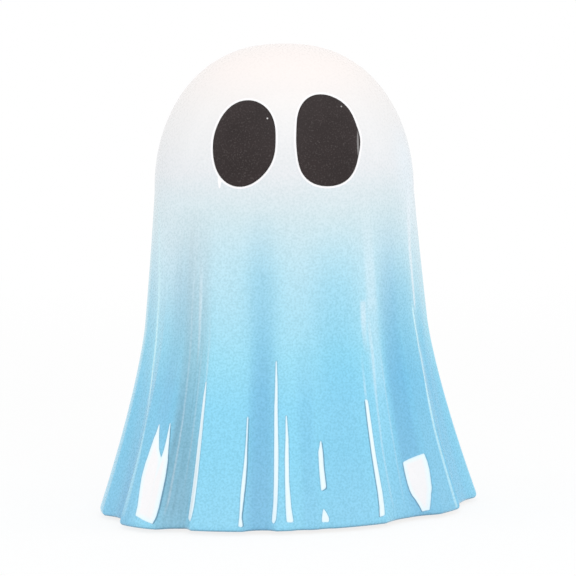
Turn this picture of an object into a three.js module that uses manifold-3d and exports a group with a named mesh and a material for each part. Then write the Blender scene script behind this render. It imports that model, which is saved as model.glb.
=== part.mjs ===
// A wooden ghost statue: a bed sheet draped over a round head, falling in soft pleats to a flared hem.
// The body is level boards glued into a stack, kept in line by two upright rods and shaped outside. Two
// black oval eyes are let into the face, and four felt pads lift the hem off the shelf.
// Units are millimetres. +Z is up, the face looks towards -Y, and the origin is on the shelf, under the
// middle of the hem. Azimuths are in degrees from the front, growing towards the ghost's own left.
import * as THREE from 'three';
import { mergeVertices } from 'three/addons/utils/BufferGeometryUtils.js';
import Module from 'manifold-3d';

const wasm = await Module();
wasm.setup();

const BODY_HEIGHT = 200; // from the hem's underside to the crown

// Boards of one thickness from the hem up, with the lacquer's colour on each and the rows of facets up its
// edge
const BOARDS = [
  { name: 'hem_board', colour: 0x92d3ef, rows: 2 },
  { name: 'lower_skirt_board', colour: 0x8fd3ef, rows: 2 },
  { name: 'upper_skirt_board', colour: 0x95daf1, rows: 2 },
  { name: 'waist_board', colour: 0xace2f3, rows: 2 },
  { name: 'chest_board', colour: 0xc8e6f0, rows: 2 },
  { name: 'neck_board', colour: 0xe6ebf0, rows: 3 },
  { name: 'face_board', colour: 0xf2f2f3, rows: 4 },
  { name: 'crown_board', colour: 0xfcf7f5, rows: 7 },
];

// Outline of the sheet, pleats aside
const HEAD_HALF_WIDTH = 55.8;
const HEAD_HALF_DEPTH = 45.2;
const DOME_HEIGHT = 62; // from the shoulders to the crown
const DOME_FULLNESS = 0.43; // 0.5 is half an ellipse, and less is fuller
const TAPER = 14.4; // how far the skirt stands out beyond the head at the hem
const TAPER_CURVE = 1.12; // 1 is a straight slope from the shoulders
const FLARE = 12.9; // what the flare adds to that at the hem
const FLARE_HEIGHT = 80; // where the flare starts
const FLARE_CURVE = 1.45;
const HEM_SWAY = 0.106; // how far the hem swings forward for each millimetre to the ghost's right
const HEM_ROUNDING = 2.5; // radius of the hem's lower edge

// Pleats: the azimuth of each valley's middle, how far it spreads to either side of that, its depth at the
// hem as a share of the deepest pleat's, and how much of the way up to the shoulders it reaches. One with a
// depth below zero is a ridge.
const PLEAT_DEPTH = 5;
const PLEATS = [
  { at: -69.8, spread: 10.5, depth: 0.73, reach: 0.9 },
  { at: -51.8, spread: 16, depth: -0.7, reach: 0.78 },
  { at: -38.2, spread: 6, depth: 0.68, reach: 0.96 },
  { at: -10.6, spread: 5.4, depth: 0.58, reach: 0.87 },
  { at: 1.8, spread: 2.8, depth: 0.18, reach: 0.5 },
  { at: 9.5, spread: 2.6, depth: 0.16, reach: 0.33 },
  { at: 39.8, spread: 11.5, depth: 0.94, reach: 0.97 },
  { at: 73.6, spread: 12, depth: 0.9, reach: 0.9 },
  { at: 101, spread: 7, depth: 0.76, reach: 0.85 },
  { at: 126, spread: 10, depth: 1, reach: 0.96 },
  { at: 150, spread: 7, depth: 0.72, reach: 0.84 },
  { at: 173.5, spread: 8, depth: 0.92, reach: 0.93 },
  { at: 202, spread: 7, depth: 0.72, reach: 0.83 },
  { at: 226, spread: 10, depth: 1, reach: 0.94 },
  { at: 250, spread: 7.5, depth: 0.76, reach: 0.87 },
];
const PLEAT_GROWTH = 1.4; // 1 deepens evenly down to the hem, and more is later
const PLEAT_FLATNESS = 3; // 2 is a round valley, and more has a flatter floor
const PLEAT_SOFTNESS = 1.4; // 1 has sharp lips, and more has softer ones

// Eyes: the side of the face that each is on, and the distance from its middle to its rim as a share of the
// eyes' half height. That is its roundness, and waves round the rim: each adds a cosine and a sine of the
// angle from the viewer's right and upwards, and repeats once more than the wave before it.
const EYE_OFFSET = 17.7; // from the middle of the face to an eye's middle
const EYE_DROP = 39.3; // from the crown down to that
const EYE_HALF_HEIGHT = 18;
const EYES = [
  {
    name: 'left_eye', side: -1, roundness: 0.84,
    waves: [[0.006, -0.015], [-0.127, 0.067], [0.001, 0.001], [0.003, -0.018], [-0.005, -0.001]],
  },
  {
    name: 'right_eye', side: 1, roundness: 0.894,
    waves: [
      [-0.038, 0.001], [-0.154, -0.029], [0.034, -0.007], [-0.002, 0.014], [0, 0.001], [0.011, -0.003],
    ],
  },
];
const EYE_SINK = 3; // how deep an eye's back lies below the face
const EYE_PROUD = 0.4;
const EYE_CLEARANCE = 0.3;

// Upright rods
const ROD_DIAMETER = 10;
const ROD_CLEARANCE = 0.3;
const ROD_OFFSET = 22; // from the middle of the body to a rod's axis
const ROD_COVER = 10; // wood left over each end

// Felt pads
const PAD_DIAMETER = 14;
const PAD_THICKNESS = 1.5;
const PAD_INSET = 24; // from the hem's outline to a pad's middle
const PAD_AZIMUTHS = { front_left: -51, front_right: 51, rear_left: -129, rear_right: 129 };

// How finely the surfaces are faceted
const SIDES = 160;
const HEM_ROWS = 2;
const ROD_SIDES = 24;
const EYE_SIDES = 36;
const EYE_RINGS = 3;

const EYE_BLACK = 0x3c3636;
const FELT_GREY = 0x4a4d52;
const BEECH = 0xc9a071;

const BODY_FLOOR = PAD_THICKNESS;
const BOARD_THICKNESS = BODY_HEIGHT / BOARDS.length;
const SHOULDER_HEIGHT = BODY_HEIGHT - DOME_HEIGHT;

// Half width of the sheet, pleats aside, at a height above the hem.
function halfWidth(height) {
  if (height >= SHOULDER_HEIGHT) {
    const rise = Math.min(1, (height - SHOULDER_HEIGHT) / DOME_HEIGHT);
    return HEAD_HALF_WIDTH * (1 - rise * rise) ** DOME_FULLNESS;
  }
  const fall = (SHOULDER_HEIGHT - height) / SHOULDER_HEIGHT;
  const flare = Math.max(0, (FLARE_HEIGHT - height) / FLARE_HEIGHT);
  return HEAD_HALF_WIDTH + TAPER * fall ** TAPER_CURVE + FLARE * flare ** FLARE_CURVE;
}

const halfDepth = (height) => (halfWidth(height) * HEAD_HALF_DEPTH) / HEAD_HALF_WIDTH;

// Height above the hem at which the dome has narrowed to a half width.
function domeHeightAt(width) {
  return SHOULDER_HEIGHT + DOME_HEIGHT * Math.sqrt(1 - (width / HEAD_HALF_WIDTH) ** (1 / DOME_FULLNESS));
}

// How far the pleats press the sheet in at an azimuth and a height above the hem.
function pleatDepth(azimuth, height) {
  let depth = 0;
  for (const pleat of PLEATS) {
    const top = SHOULDER_HEIGHT * pleat.reach;
    const away = THREE.MathUtils.euclideanModulo(azimuth - pleat.at + 180, 360) - 180;
    const share = Math.min(1, Math.abs(away) / pleat.spread);
    const growth = Math.max(0, (top - height) / top) ** PLEAT_GROWTH;
    const pressed = PLEAT_DEPTH * pleat.depth * growth;
    depth += pressed * (1 - share ** PLEAT_FLATNESS) ** PLEAT_SOFTNESS;
  }
  return depth;
}

// How far the hem's rounded lower edge is drawn in at a height above the hem.
function hemInset(height) {
  const below = Math.max(0, HEM_ROUNDING - height);
  return HEM_ROUNDING - Math.sqrt(HEM_ROUNDING ** 2 - below ** 2);
}

// The point of the outline at an azimuth and a height above the hem, moved inwards by some distance. Below
// the shoulders the skirt sways: its one side stands further and further forward, and its other side back.
function outlinePoint(azimuth, height, inwards) {
  const angle = THREE.MathUtils.degToRad(azimuth);
  const sway = HEM_SWAY * Math.max(0, 1 - height / SHOULDER_HEIGHT);
  const x = (halfWidth(height) - inwards) * Math.sin(angle);
  const y = sway * x - (halfDepth(height) - inwards) * Math.cos(angle);
  return new THREE.Vector3(x, y, BODY_FLOOR + height);
}

const sheetPoint = (azimuth, height) =>
  outlinePoint(azimuth, height, pleatDepth(azimuth, height) + hemInset(height));

// A closed geometry of rings of equally many points between two end points. Seen from beyond the last ring,
// the points of each ring run anticlockwise.
function closedRings(start, rings, end) {
  const points = [start, ...rings.flat(), end];
  const count = rings[0].length;
  const index = [];
  for (let i = 0; i < count; i++) {
    const next = (i + 1) % count;
    index.push(0, 1 + next, 1 + i);
    for (let ring = 0; ring < rings.length - 1; ring++) {
      const low = 1 + ring * count;
      const high = low + count;
      index.push(low + i, low + next, high + next, low + i, high + next, high + i);
    }
    const last = 1 + (rings.length - 1) * count;
    index.push(points.length - 1, last + i, last + next);
  }
  return new THREE.BufferGeometry().setFromPoints(points).setIndex(index);
}

// One board of the stack, with the sheet as its edge. The crown's rings crowd together towards its top.
function boardGeometry(board) {
  const isHem = board === 0;
  const isCrown = board === BOARDS.length - 1;
  const { rows } = BOARDS[board];
  const bottom = board * BOARD_THICKNESS;
  const top = bottom + BOARD_THICKNESS;
  const heights = isHem
    ? Array.from({ length: HEM_ROWS }, (_, row) => HEM_ROUNDING * (row / HEM_ROWS) ** 2)
    : [];
  const start = isHem ? HEM_ROUNDING : bottom;
  for (let row = 0; row <= rows; row++) {
    const left = 1 - row / rows;
    heights.push(top - (top - start) * (isCrown ? left * left : left));
  }
  if (isCrown) heights.pop();
  const rings = heights.map((height) =>
    Array.from({ length: SIDES }, (_, side) => sheetPoint((side * 360) / SIDES, height)),
  );
  const middle = (height) => new THREE.Vector3(0, 0, BODY_FLOOR + height);
  return closedRings(middle(bottom), rings, middle(top));
}

// Depth of the head at a point seen from the front, moved out of its surface by some distance.
function faceY(x, z, out) {
  const height = z - BODY_FLOOR;
  const across = x / (halfWidth(height) + out);
  return -(halfDepth(height) + out) * Math.sqrt(Math.max(0, 1 - across * across));
}

// Distance from an eye's middle to its rim at an angle.
function rimRadius(eye, angle) {
  const waves = eye.waves.map(([across, up], index) => {
    const turned = (index + 1) * angle;
    return across * Math.cos(turned) + up * Math.sin(turned);
  });
  return EYE_HALF_HEIGHT * waves.reduce((sum, wave) => sum + wave, eye.roundness);
}

// A plug whose back and front follow the head, at two distances out of it, inside an eye's rim grown a
// little.
function eyeGeometry(eye, grow, backOut, frontOut) {
  const middleX = eye.side * EYE_OFFSET;
  const middleZ = BODY_FLOOR + BODY_HEIGHT - EYE_DROP;
  const onHead = (angle, radius, out) => {
    const x = middleX + radius * Math.cos(angle);
    const z = middleZ + radius * Math.sin(angle);
    return new THREE.Vector3(x, faceY(x, z, out), z);
  };
  const ring = (share, out) =>
    Array.from({ length: EYE_SIDES }, (_, side) => {
      const angle = (side * 2 * Math.PI) / EYE_SIDES;
      return onHead(angle, share * (rimRadius(eye, angle) + grow), out);
    });
  const shares = Array.from({ length: EYE_RINGS }, (_, step) => (step + 1) / EYE_RINGS);
  const rings = [
    ...shares.map((share) => ring(share, backOut)),
    ...shares.reverse().map((share) => ring(share, frontOut)),
  ];
  return closedRings(onHead(0, 0, backOut), rings, onHead(0, 0, frontOut));
}

// An upright round bar between two heights above the shelf.
function barGeometry(diameter, x, y, bottom, top) {
  return new THREE.CylinderGeometry(diameter / 2, diameter / 2, top - bottom, ROD_SIDES)
    .rotateX(Math.PI / 2)
    .translate(x, y, (bottom + top) / 2);
}

const ROD_BOTTOM = BODY_FLOOR + ROD_COVER;
const ROD_TOP = BODY_FLOOR + domeHeightAt(ROD_OFFSET + ROD_DIAMETER / 2 + ROD_CLEARANCE) - ROD_COVER;

// One of the two rods, or the hole for it if there is clearance round it.
function rodGeometry(x, clearance) {
  const diameter = ROD_DIAMETER + 2 * clearance;
  return barGeometry(diameter, x, 0, ROD_BOTTOM - clearance, ROD_TOP + clearance);
}

function solidOf(geometry) {
  const bare = geometry.clone();
  bare.deleteAttribute('normal');
  bare.deleteAttribute('uv');
  const merged = mergeVertices(bare);
  return new wasm.Manifold(new wasm.Mesh({
    numProp: 3,
    vertProperties: merged.attributes.position.array,
    triVerts: new Uint32Array(merged.index.array),
  }));
}

function geometryOf(solid) {
  const mesh = solid.getMesh();
  const geometry = new THREE.BufferGeometry();
  geometry.setAttribute('position', new THREE.BufferAttribute(mesh.vertProperties, 3));
  geometry.setIndex(new THREE.BufferAttribute(mesh.triVerts, 1));
  geometry.computeVertexNormals();
  return geometry;
}

function piece(name, geometry, color, roughness) {
  const material = new THREE.MeshStandardMaterial({ color, roughness, metalness: 0 });
  const mesh = new THREE.Mesh(geometry, material);
  mesh.name = name;
  return mesh;
}

const ghost = new THREE.Group();
const rods = { left_index_rod: -ROD_OFFSET, right_index_rod: ROD_OFFSET };

// What is bored and cut out of the glued-up stack: the rods' holes and the eyes' pockets, which run out
// past the front of the face
const pocketMouth = HEAD_HALF_DEPTH / 4;
const cutters = [
  ...Object.values(rods).map((x) => rodGeometry(x, ROD_CLEARANCE)),
  ...EYES.map((eye) => eyeGeometry(eye, EYE_CLEARANCE, -EYE_SINK - EYE_CLEARANCE, pocketMouth)),
].map(solidOf);

BOARDS.forEach(({ name, colour }, board) => {
  const blank = solidOf(boardGeometry(board));
  const carved = cutters.reduce((solid, cutter) => solid.subtract(cutter), blank);
  ghost.add(piece(name, geometryOf(carved), colour, 0.12));
});

for (const eye of EYES) {
  ghost.add(piece(eye.name, eyeGeometry(eye, 0, -EYE_SINK, EYE_PROUD), EYE_BLACK, 0.5));
}

for (const [name, x] of Object.entries(rods)) {
  ghost.add(piece(name, rodGeometry(x, 0), BEECH, 0.7));
}

for (const [place, azimuth] of Object.entries(PAD_AZIMUTHS)) {
  const { x, y } = outlinePoint(azimuth, 0, PAD_INSET);
  const pad = barGeometry(PAD_DIAMETER, x, y, 0, PAD_THICKNESS);
  ghost.add(piece(`${place}_felt_pad`, pad, FELT_GREY, 0.95));
}

export default ghost;
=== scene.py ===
"""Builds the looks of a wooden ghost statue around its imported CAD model.

The body is a stack of level boards under one lacquered skin: a bed sheet draped over a round head, which
falls in soft pleats to a flared hem. Lengths are in millimetres up to the finished mesh, which is in metres.
Heights are measured from the hem's underside. Azimuths are in degrees from the front, and grow towards the
viewer's right.
"""

import logging
import math
from abc import ABC, abstractmethod
from collections.abc import Callable, Mapping, Sequence
from dataclasses import dataclass
from enum import Enum

import bmesh
import bpy
import numpy as np
from mathutils import Matrix, Quaternion, Vector, noise


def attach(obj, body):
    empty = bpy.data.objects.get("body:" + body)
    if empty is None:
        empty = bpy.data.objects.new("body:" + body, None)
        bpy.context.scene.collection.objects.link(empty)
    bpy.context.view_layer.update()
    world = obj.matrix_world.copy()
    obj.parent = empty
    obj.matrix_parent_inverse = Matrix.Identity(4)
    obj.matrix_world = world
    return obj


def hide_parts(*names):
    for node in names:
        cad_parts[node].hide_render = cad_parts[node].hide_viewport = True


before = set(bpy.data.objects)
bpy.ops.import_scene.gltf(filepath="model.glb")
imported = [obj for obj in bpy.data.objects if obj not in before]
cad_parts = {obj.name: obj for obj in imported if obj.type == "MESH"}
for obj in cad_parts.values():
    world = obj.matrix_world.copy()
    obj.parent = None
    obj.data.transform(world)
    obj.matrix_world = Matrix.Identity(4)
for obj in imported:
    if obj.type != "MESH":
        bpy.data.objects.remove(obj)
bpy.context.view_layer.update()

logger = logging.getLogger("wooden_ghost")

MM = 0.001
ROOT_BODY = "root"
SHELF_TO_HEM = 1.5  # the felt pads' thickness

HAIR = 1e-3  # a length in millimetres that makes no difference
NOISE_RANGE = (0.3, 0.7)  # where most of a noise texture's values lie

Rgb = tuple[int, int, int]
Triple = tuple[float, float, float]
Socket = bpy.types.NodeSocket
WHITE = (255, 255, 255)


class Slot(Enum):
    """The record's material slots."""

    SKY_BLUE = "lacquer_sky_blue"
    LIGHT_BLUE = "lacquer_light_blue"
    PALE_BLUE = "lacquer_pale_blue"
    COOL_WHITE = "lacquer_cool_white"
    WARM_WHITE = "lacquer_warm_white"
    EYE_BLACK = "eye_black"
    BEECH = "bare_beech"
    FELT = "grey_felt"


class Layer(Enum):
    """Which of a board's materials a face wears."""

    SKIN = 0
    BARE = 1


def linear(colour: Rgb) -> tuple[float, float, float, float]:
    """Turns a colour of 0 to 255 as a screen shows it into the linear one that a socket takes.

    Args:
        colour: Red, green and blue from 0 to 255.

    Returns:
        The linear colour with an alpha of 1.
    """
    shares = (part / 255 for part in colour)
    parts = [share / 12.92 if share <= 0.04045 else ((share + 0.055) / 1.055) ** 2.4 for share in shares]
    return (parts[0], parts[1], parts[2], 1.0)


def direction(azimuth: float, elevation: float) -> Vector:
    """Gives the unit vector that points out of the statue at an azimuth and an elevation.

    Args:
        azimuth: Degrees from the front towards the viewer's right.
        elevation: Degrees above the horizon.

    Returns:
        The direction in the row frame.
    """
    turn, rise = math.radians(azimuth), math.radians(elevation)
    return Vector((math.sin(turn) * math.cos(rise), -math.cos(turn) * math.cos(rise), math.sin(rise)))


class NodeGraph:
    """The node tree of a material or of the world."""

    def __init__(self, owner: bpy.types.Material | bpy.types.World) -> None:
        """Empties the owner's tree."""
        owner.use_nodes = True
        self.tree = owner.node_tree
        self.tree.nodes.clear()

    def add(
        self, kind: str, sockets: Mapping[str | int, object] | None = None, **settings: object
    ) -> bpy.types.Node:
        """Adds a node.

        Args:
            kind: The node's type.
            sockets: What each input gets: another node's output, or a value.
            settings: The node's own properties.

        Returns:
            The new node.
        """
        node = self.tree.nodes.new(kind)
        for name, value in settings.items():
            setattr(node, name, value)
        for name, value in (sockets or {}).items():
            if isinstance(value, Socket):
                self.tree.links.new(value, node.inputs[name])
            else:
                node.inputs[name].default_value = value
        return node

    def place(self) -> Socket:
        """Gives the point of the surface in the object's own coordinates, which are the row frame's."""
        return self.add("ShaderNodeTexCoord").outputs["Object"]

    def part(self, vector: Socket, axis: str) -> Socket:
        """Gives one part of a vector, by the name of its axis."""
        return self.add("ShaderNodeSeparateXYZ", {"Vector": vector}).outputs[axis]

    def length(self, vector: Socket) -> Socket:
        """Gives a vector's length."""
        return self.add("ShaderNodeVectorMath", {0: vector}, operation="LENGTH").outputs["Value"]

    def painted(self, name: str) -> Socket:
        """Gives an attribute of the mesh."""
        return self.add("ShaderNodeAttribute", attribute_name=name).outputs["Fac"]

    def stretched(self, vector: Socket, scale: Sequence[float]) -> Socket:
        """Gives a vector with its three parts scaled."""
        return self.add("ShaderNodeMapping", {"Vector": vector, "Scale": tuple(scale)}).outputs["Vector"]

    def speckle(
        self, vector: Socket, scale: float, detail: float = 2.0, roughness: float = 0.5
    ) -> Socket:
        """Adds a noise texture.

        Args:
            vector: Where the noise is read.
            scale: Cells in each unit of the vector.
            detail: Octaves.
            roughness: The share that each octave adds.

        Returns:
            The noise from 0 to 1.
        """
        sockets = {"Vector": vector, "Scale": scale, "Detail": detail, "Roughness": roughness}
        return self.add("ShaderNodeTexNoise", sockets).outputs["Fac"]

    def calculated(self, operation: str, *values: object) -> Socket:
        """Adds a Math node on some sockets or numbers, and gives its result."""
        return self.add("ShaderNodeMath", dict(enumerate(values)), operation=operation).outputs["Value"]

    def spread(
        self, value: Socket, low: float, high: float, to_low: float = 0.0, to_high: float = 1.0
    ) -> Socket:
        """Maps a range of values to another range, clamped.

        Args:
            value: The socket to map.
            low: Where the range starts.
            high: Where it ends.
            to_low: What the start becomes.
            to_high: What the end becomes.

        Returns:
            The mapped value.
        """
        sockets = {"Value": value, "From Min": low, "From Max": high, "To Min": to_low, "To Max": to_high}
        return self.add("ShaderNodeMapRange", sockets, interpolation_type="SMOOTHSTEP").outputs["Result"]

    def mixed(
        self, factor: Socket | float, first: Socket | Rgb, second: Socket | Rgb, blend: str = "MIX"
    ) -> Socket:
        """Mixes two colours.

        Args:
            factor: How much of the second, from 0 to 1.
            first: A socket, or a colour as a screen shows it.
            second: Likewise.
            blend: How the second goes over the first.

        Returns:
            The mixed colour.
        """
        below, above = (linear(part) if isinstance(part, tuple) else part for part in (first, second))
        settings = {"data_type": "RGBA", "blend_type": blend}
        return self.add("ShaderNodeMix", {0: factor, 6: below, 7: above}, **settings).outputs[2]

    def ramp(
        self, factor: Socket, stops: Sequence[tuple[float, Rgb]], full: float = 1.0
    ) -> Socket:
        """Adds a colour ramp.

        Args:
            factor: Where on the ramp to read, from 0 to 1.
            stops: Each stop's place from 0 to full, and its colour.
            full: The place at which the ramp ends.

        Returns:
            The colour.
        """
        node = self.add("ShaderNodeValToRGB", {"Fac": factor})
        elements = node.color_ramp.elements
        while len(elements) < len(stops):
            elements.new(0.5)
        for element, (place, colour) in zip(elements, stops, strict=True):
            element.position = place / full
            element.color = linear(colour)
        return node.outputs["Color"]

    def bumped(self, height: Socket, depth: float) -> Socket:
        """Gives the normal of a surface that a height from 0 to 1 lifts by up to a depth in millimetres."""
        sockets = {"Height": height, "Distance": depth * MM, "Strength": 1.0}
        return self.add("ShaderNodeBump", sockets).outputs["Normal"]

    def seen_directly(self) -> Socket:
        """Gives 1 for what the camera sees, also in a reflection or through something clear, or else 0."""
        path = self.add("ShaderNodeLightPath").outputs
        seen = self.calculated("MAXIMUM", path["Is Camera Ray"], path["Is Glossy Ray"])
        return self.calculated("MAXIMUM", seen, path["Is Transmission Ray"])

    def end(self, **sockets: object) -> None:
        """Ends the tree in a Principled shader.

        Args:
            sockets: The shader's inputs, with underscores for the spaces in their names.
        """
        named = {name.replace("_", " "): value for name, value in sockets.items()}
        shader = self.add("ShaderNodeBsdfPrincipled", named)
        self.add("ShaderNodeOutputMaterial", {"Surface": shader.outputs["BSDF"]})


class Finish(ABC):
    """What a surface is painted or made of."""

    def material(self, name: str) -> bpy.types.Material:
        """Makes the finish's material, under that name."""
        made = bpy.data.materials.new(name)
        graph = NodeGraph(made)
        self.fill(graph, graph.place())
        return made

    @abstractmethod
    def fill(self, graph: NodeGraph, place: Socket) -> None:
        """Fills the material's graph, which reads the point of the surface from a socket."""


@dataclass(frozen=True)
class OmbreLacquer(Finish):
    """High-gloss lacquer, sprayed from sky blue at the hem to warm white at the crown, with painted
    highlights and painted shade over it.
    """

    height: float = 201.5  # of the crown; it and all heights below are above the shelf
    stops: tuple[tuple[float, Rgb], ...] = (
        (5.0, (147, 213, 239)),
        (32.0, (140, 212, 239)),
        (52.0, (141, 213, 240)),
        (72.0, (155, 219, 240)),
        (112.0, (191, 226, 238)),
        (132.0, (209, 228, 234)),
        (150.0, (230, 233, 236)),
        (172.0, (238, 237, 237)),
        (194.0, (249, 242, 239)),
    )
    # The washes' colours: painted shade, painted grey shade, a cooler tint, painted sheen and painted glints
    painted_shade: Rgb = (226, 228, 238)
    shade_rise: float = 8.0  # how much further up the blue reaches under the painted shade
    grey_shade: Rgb = (238, 220, 219)
    cool: Rgb = (200, 245, 255)
    painted_sheen: Rgb = (232, 243, 250)
    glint: Rgb = (212, 248, 255)
    rim_white: Rgb = (252, 251, 253)
    whites: tuple[tuple[float, Rgb], ...] = (  # a painted highlight's colour by the distance in from its edge
        (0.0, (222, 243, 253)),
        (0.5, (236, 250, 254)),
        (2.2, (247, 245, 246)),
    )
    shadow: Rgb = (92, 132, 158)  # painted shade: the dark lines by a painted highlight and along the hem
    # strengths of the painted shade lines by the highlights, of the fainter ones and of the one along the hem
    shade_line_strength: float = 0.75
    shade_halo_strength: float = 0.32
    hem_shade_strength: float = 0.55
    hem_shade_line: tuple[float, float] = (1.9, 2.7)  # up to where the painted shade along the hem is full, and where it ends
    uneven: float = 2.2  # how far the spray wanders up and down
    drifts: float = 26.0  # noise cells in a metre, like stipple, frayed and peel
    brushing: Triple = (60.0, 60.0, 1.3)  # cells round the body and in 100 mm of height
    streaks: float = 0.012
    grey_shade_streaks: float = 0.075  # how much stronger the streaks are under the painted grey shade
    stipple: float = 1100.0
    thin: Rgb = (266, 263, 263)  # multiplies the colour in a speck of thin paint, so over 255 is paler
    thick: Rgb = (244, 247, 247)
    faint_above: float = 178.0  # where the specks and streaks are faintest
    full_below: float = 100.0
    faintest: float = 0.05
    contrast: tuple[float, float] = (0.25, 0.75)  # the range of noise that the specks and streaks span
    frayed: float = 700.0
    fraying: float = 0.16  # how ragged the edges of the painted highlights, the painted shade lines and the eyes' rims are
    line_blur: float = 0.12
    highlight_blur: tuple[float, float] = (-0.15, 0.03)
    rim_blur: float = 0.09
    peel: float = 210.0
    peel_depth: float = 0.04
    roughness: tuple[float, float] = (0.24, 0.34)
    gloss: tuple[float, float] = (0.1, 0.22)  # the clear coat's strength on the head and on the skirt
    gloss_heights: tuple[float, float] = (160.0, 115.0)

    def fill(self, graph: NodeGraph, place: Socket) -> None:
        """Fills in the lacquer, which reads the attributes of the skin, among them its painted highlights and
        painted shade.

        Args:
            graph: The material's graph.
            place: The point of the surface.
        """
        height = graph.part(place, "Z")
        strength = graph.spread(height, self.faint_above * MM, self.full_below * MM, self.faintest, 1.0)
        grain = graph.speckle(place, self.stipple, 1.0)

        colour = self.sprayed(graph, place, height)
        # painted sheen and painted glints along the folds
        for wash, shade in (("painted_sheen", self.painted_sheen), ("glint", self.glint)):
            colour = graph.mixed(graph.painted(wash), colour, shade)
        colour = graph.mixed(1.0, colour, self.brushed(graph, strength), "MULTIPLY")
        specks = graph.mixed(graph.spread(grain, *self.contrast), self.thick, self.thin)
        colour = graph.mixed(strength, colour, specks, "MULTIPLY")
        colour = self.with_painted_light(graph, place, height, colour)

        normal = graph.bumped(graph.speckle(place, self.peel, 2.0), self.peel_depth)
        roughness = graph.spread(grain, 0.2, 0.8, *self.roughness)
        gloss = graph.spread(height, *(level * MM for level in self.gloss_heights), *self.gloss)
        graph.end(
            Base_Color=colour, Roughness=roughness, Specular_IOR_Level=0.15, Normal=normal,
            Coat_Weight=gloss, Coat_Roughness=0.03, Coat_IOR=1.5, Coat_Normal=normal,
        )

    def sprayed(self, graph: NodeGraph, place: Socket, height: Socket) -> Socket:
        """Makes the fade from blue to white, with the painted shade, the painted grey shade and the cooler
        tint over it.

        Args:
            graph: The material's graph.
            place: The point of the surface.
            height: Its height in metres.

        Returns:
            The colour.
        """
        # painted shade: it darkens the valleys and the sides, and lets the blue reach further up there
        painted_shade = graph.painted("painted_shade")
        drift = graph.calculated("SUBTRACT", graph.speckle(place, self.drifts), 0.5)
        wander = graph.calculated("MULTIPLY", drift, 4 * self.uneven * MM)  # as noise keeps to a middle half
        sunk = graph.calculated("MULTIPLY", painted_shade, -self.shade_rise * MM)
        level = graph.calculated("ADD", graph.calculated("ADD", height, wander), sunk)
        share = graph.calculated("DIVIDE", level, self.height * MM)
        colour = graph.ramp(share, self.stops, self.height)
        colour = graph.mixed(painted_shade, colour, self.painted_shade, "MULTIPLY")
        # painted grey shade on the left, most of it in the valley there, and a cooler tint
        for wash, shade in (("grey_shade", self.grey_shade), ("cool", self.cool)):
            colour = graph.mixed(graph.painted(wash), colour, shade, "MULTIPLY")
        return colour

    def brushed(self, graph: NodeGraph, strength: Socket) -> Socket:
        """Makes the fine upright streaks, which are strongest under the painted grey shade.

        Args:
            graph: The material's graph.
            strength: How strong the streaks are elsewhere, from 0 to 1.

        Returns:
            What they multiply the colour by.
        """
        around = graph.add("ShaderNodeAttribute", attribute_name="around").outputs["Vector"]
        streaks = graph.speckle(graph.stretched(around, self.brushing), 1.0, 4.0, 0.65)
        even = graph.calculated("MULTIPLY", strength, self.streaks)
        under_wash = graph.calculated("MULTIPLY", graph.painted("grey_shade"), self.grey_shade_streaks)
        reach = graph.calculated("ADD", under_wash, even)
        streak = graph.calculated("MULTIPLY", graph.spread(streaks, *self.contrast, -1.0, 1.0), reach)
        return graph.calculated("ADD", streak, 1.0)

    def with_painted_light(self, graph: NodeGraph, place: Socket, height: Socket, colour: Socket) -> Socket:
        """Adds the painted shade lines by the highlights and along the hem, the white painted highlights and
        the eyes' white rims, all with frayed edges.

        Args:
            graph: The material's graph.
            place: The point of the surface.
            height: Its height in metres.
            colour: The colour below them.

        Returns:
            The colour with them.
        """
        offset = graph.calculated("SUBTRACT", graph.speckle(place, self.frayed), 0.5)
        ragged = graph.calculated("MULTIPLY", offset, self.fraying)
        highlight = graph.painted("highlight")
        within, line, halo, rim = (
            graph.calculated("ADD", distance, ragged)
            for distance in (highlight, graph.painted("line"), graph.painted("halo"), graph.painted("rim"))
        )
        # dark painted shade lines by the highlights, and fainter ones all round them
        dark = graph.spread(line, -self.line_blur, self.line_blur, 0.0, self.shade_line_strength)
        faint = graph.spread(halo, -self.line_blur, self.line_blur, 0.0, self.shade_halo_strength)
        # painted shade along the hem's lower edge
        low, high = self.hem_shade_line
        edge = graph.spread(height, high * MM, low * MM, 0.0, self.hem_shade_strength)
        darkest = graph.calculated("MAXIMUM", graph.calculated("MAXIMUM", dark, faint), edge)
        colour = graph.mixed(darkest, colour, self.shadow)

        # the white painted highlights
        deepest = self.whites[-1][0]
        opaque = graph.ramp(graph.calculated("DIVIDE", highlight, deepest), self.whites, deepest)
        colour = graph.mixed(graph.spread(within, *self.highlight_blur), colour, opaque)
        return graph.mixed(graph.spread(rim, -self.rim_blur, self.rim_blur), colour, self.rim_white)


@dataclass(frozen=True)
class PocketPaint(Finish):
    """White undercoat on the walls of an eye's pocket."""

    colour: Rgb = (226, 222, 219)
    blotch: Rgb = (168, 160, 154)
    blotches: float = 600.0  # noise cells in a metre, as in the finishes below

    def fill(self, graph: NodeGraph, place: Socket) -> None:
        """Fills in a slightly uneven undercoat."""
        blotches = graph.speckle(place, self.blotches, 3.0)
        share = graph.spread(blotches, *NOISE_RANGE, 0.0, 0.25)
        colour = graph.mixed(share, self.colour, self.blotch)
        graph.end(Base_Color=colour, Roughness=0.35, Normal=graph.bumped(blotches, 0.1))


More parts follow.
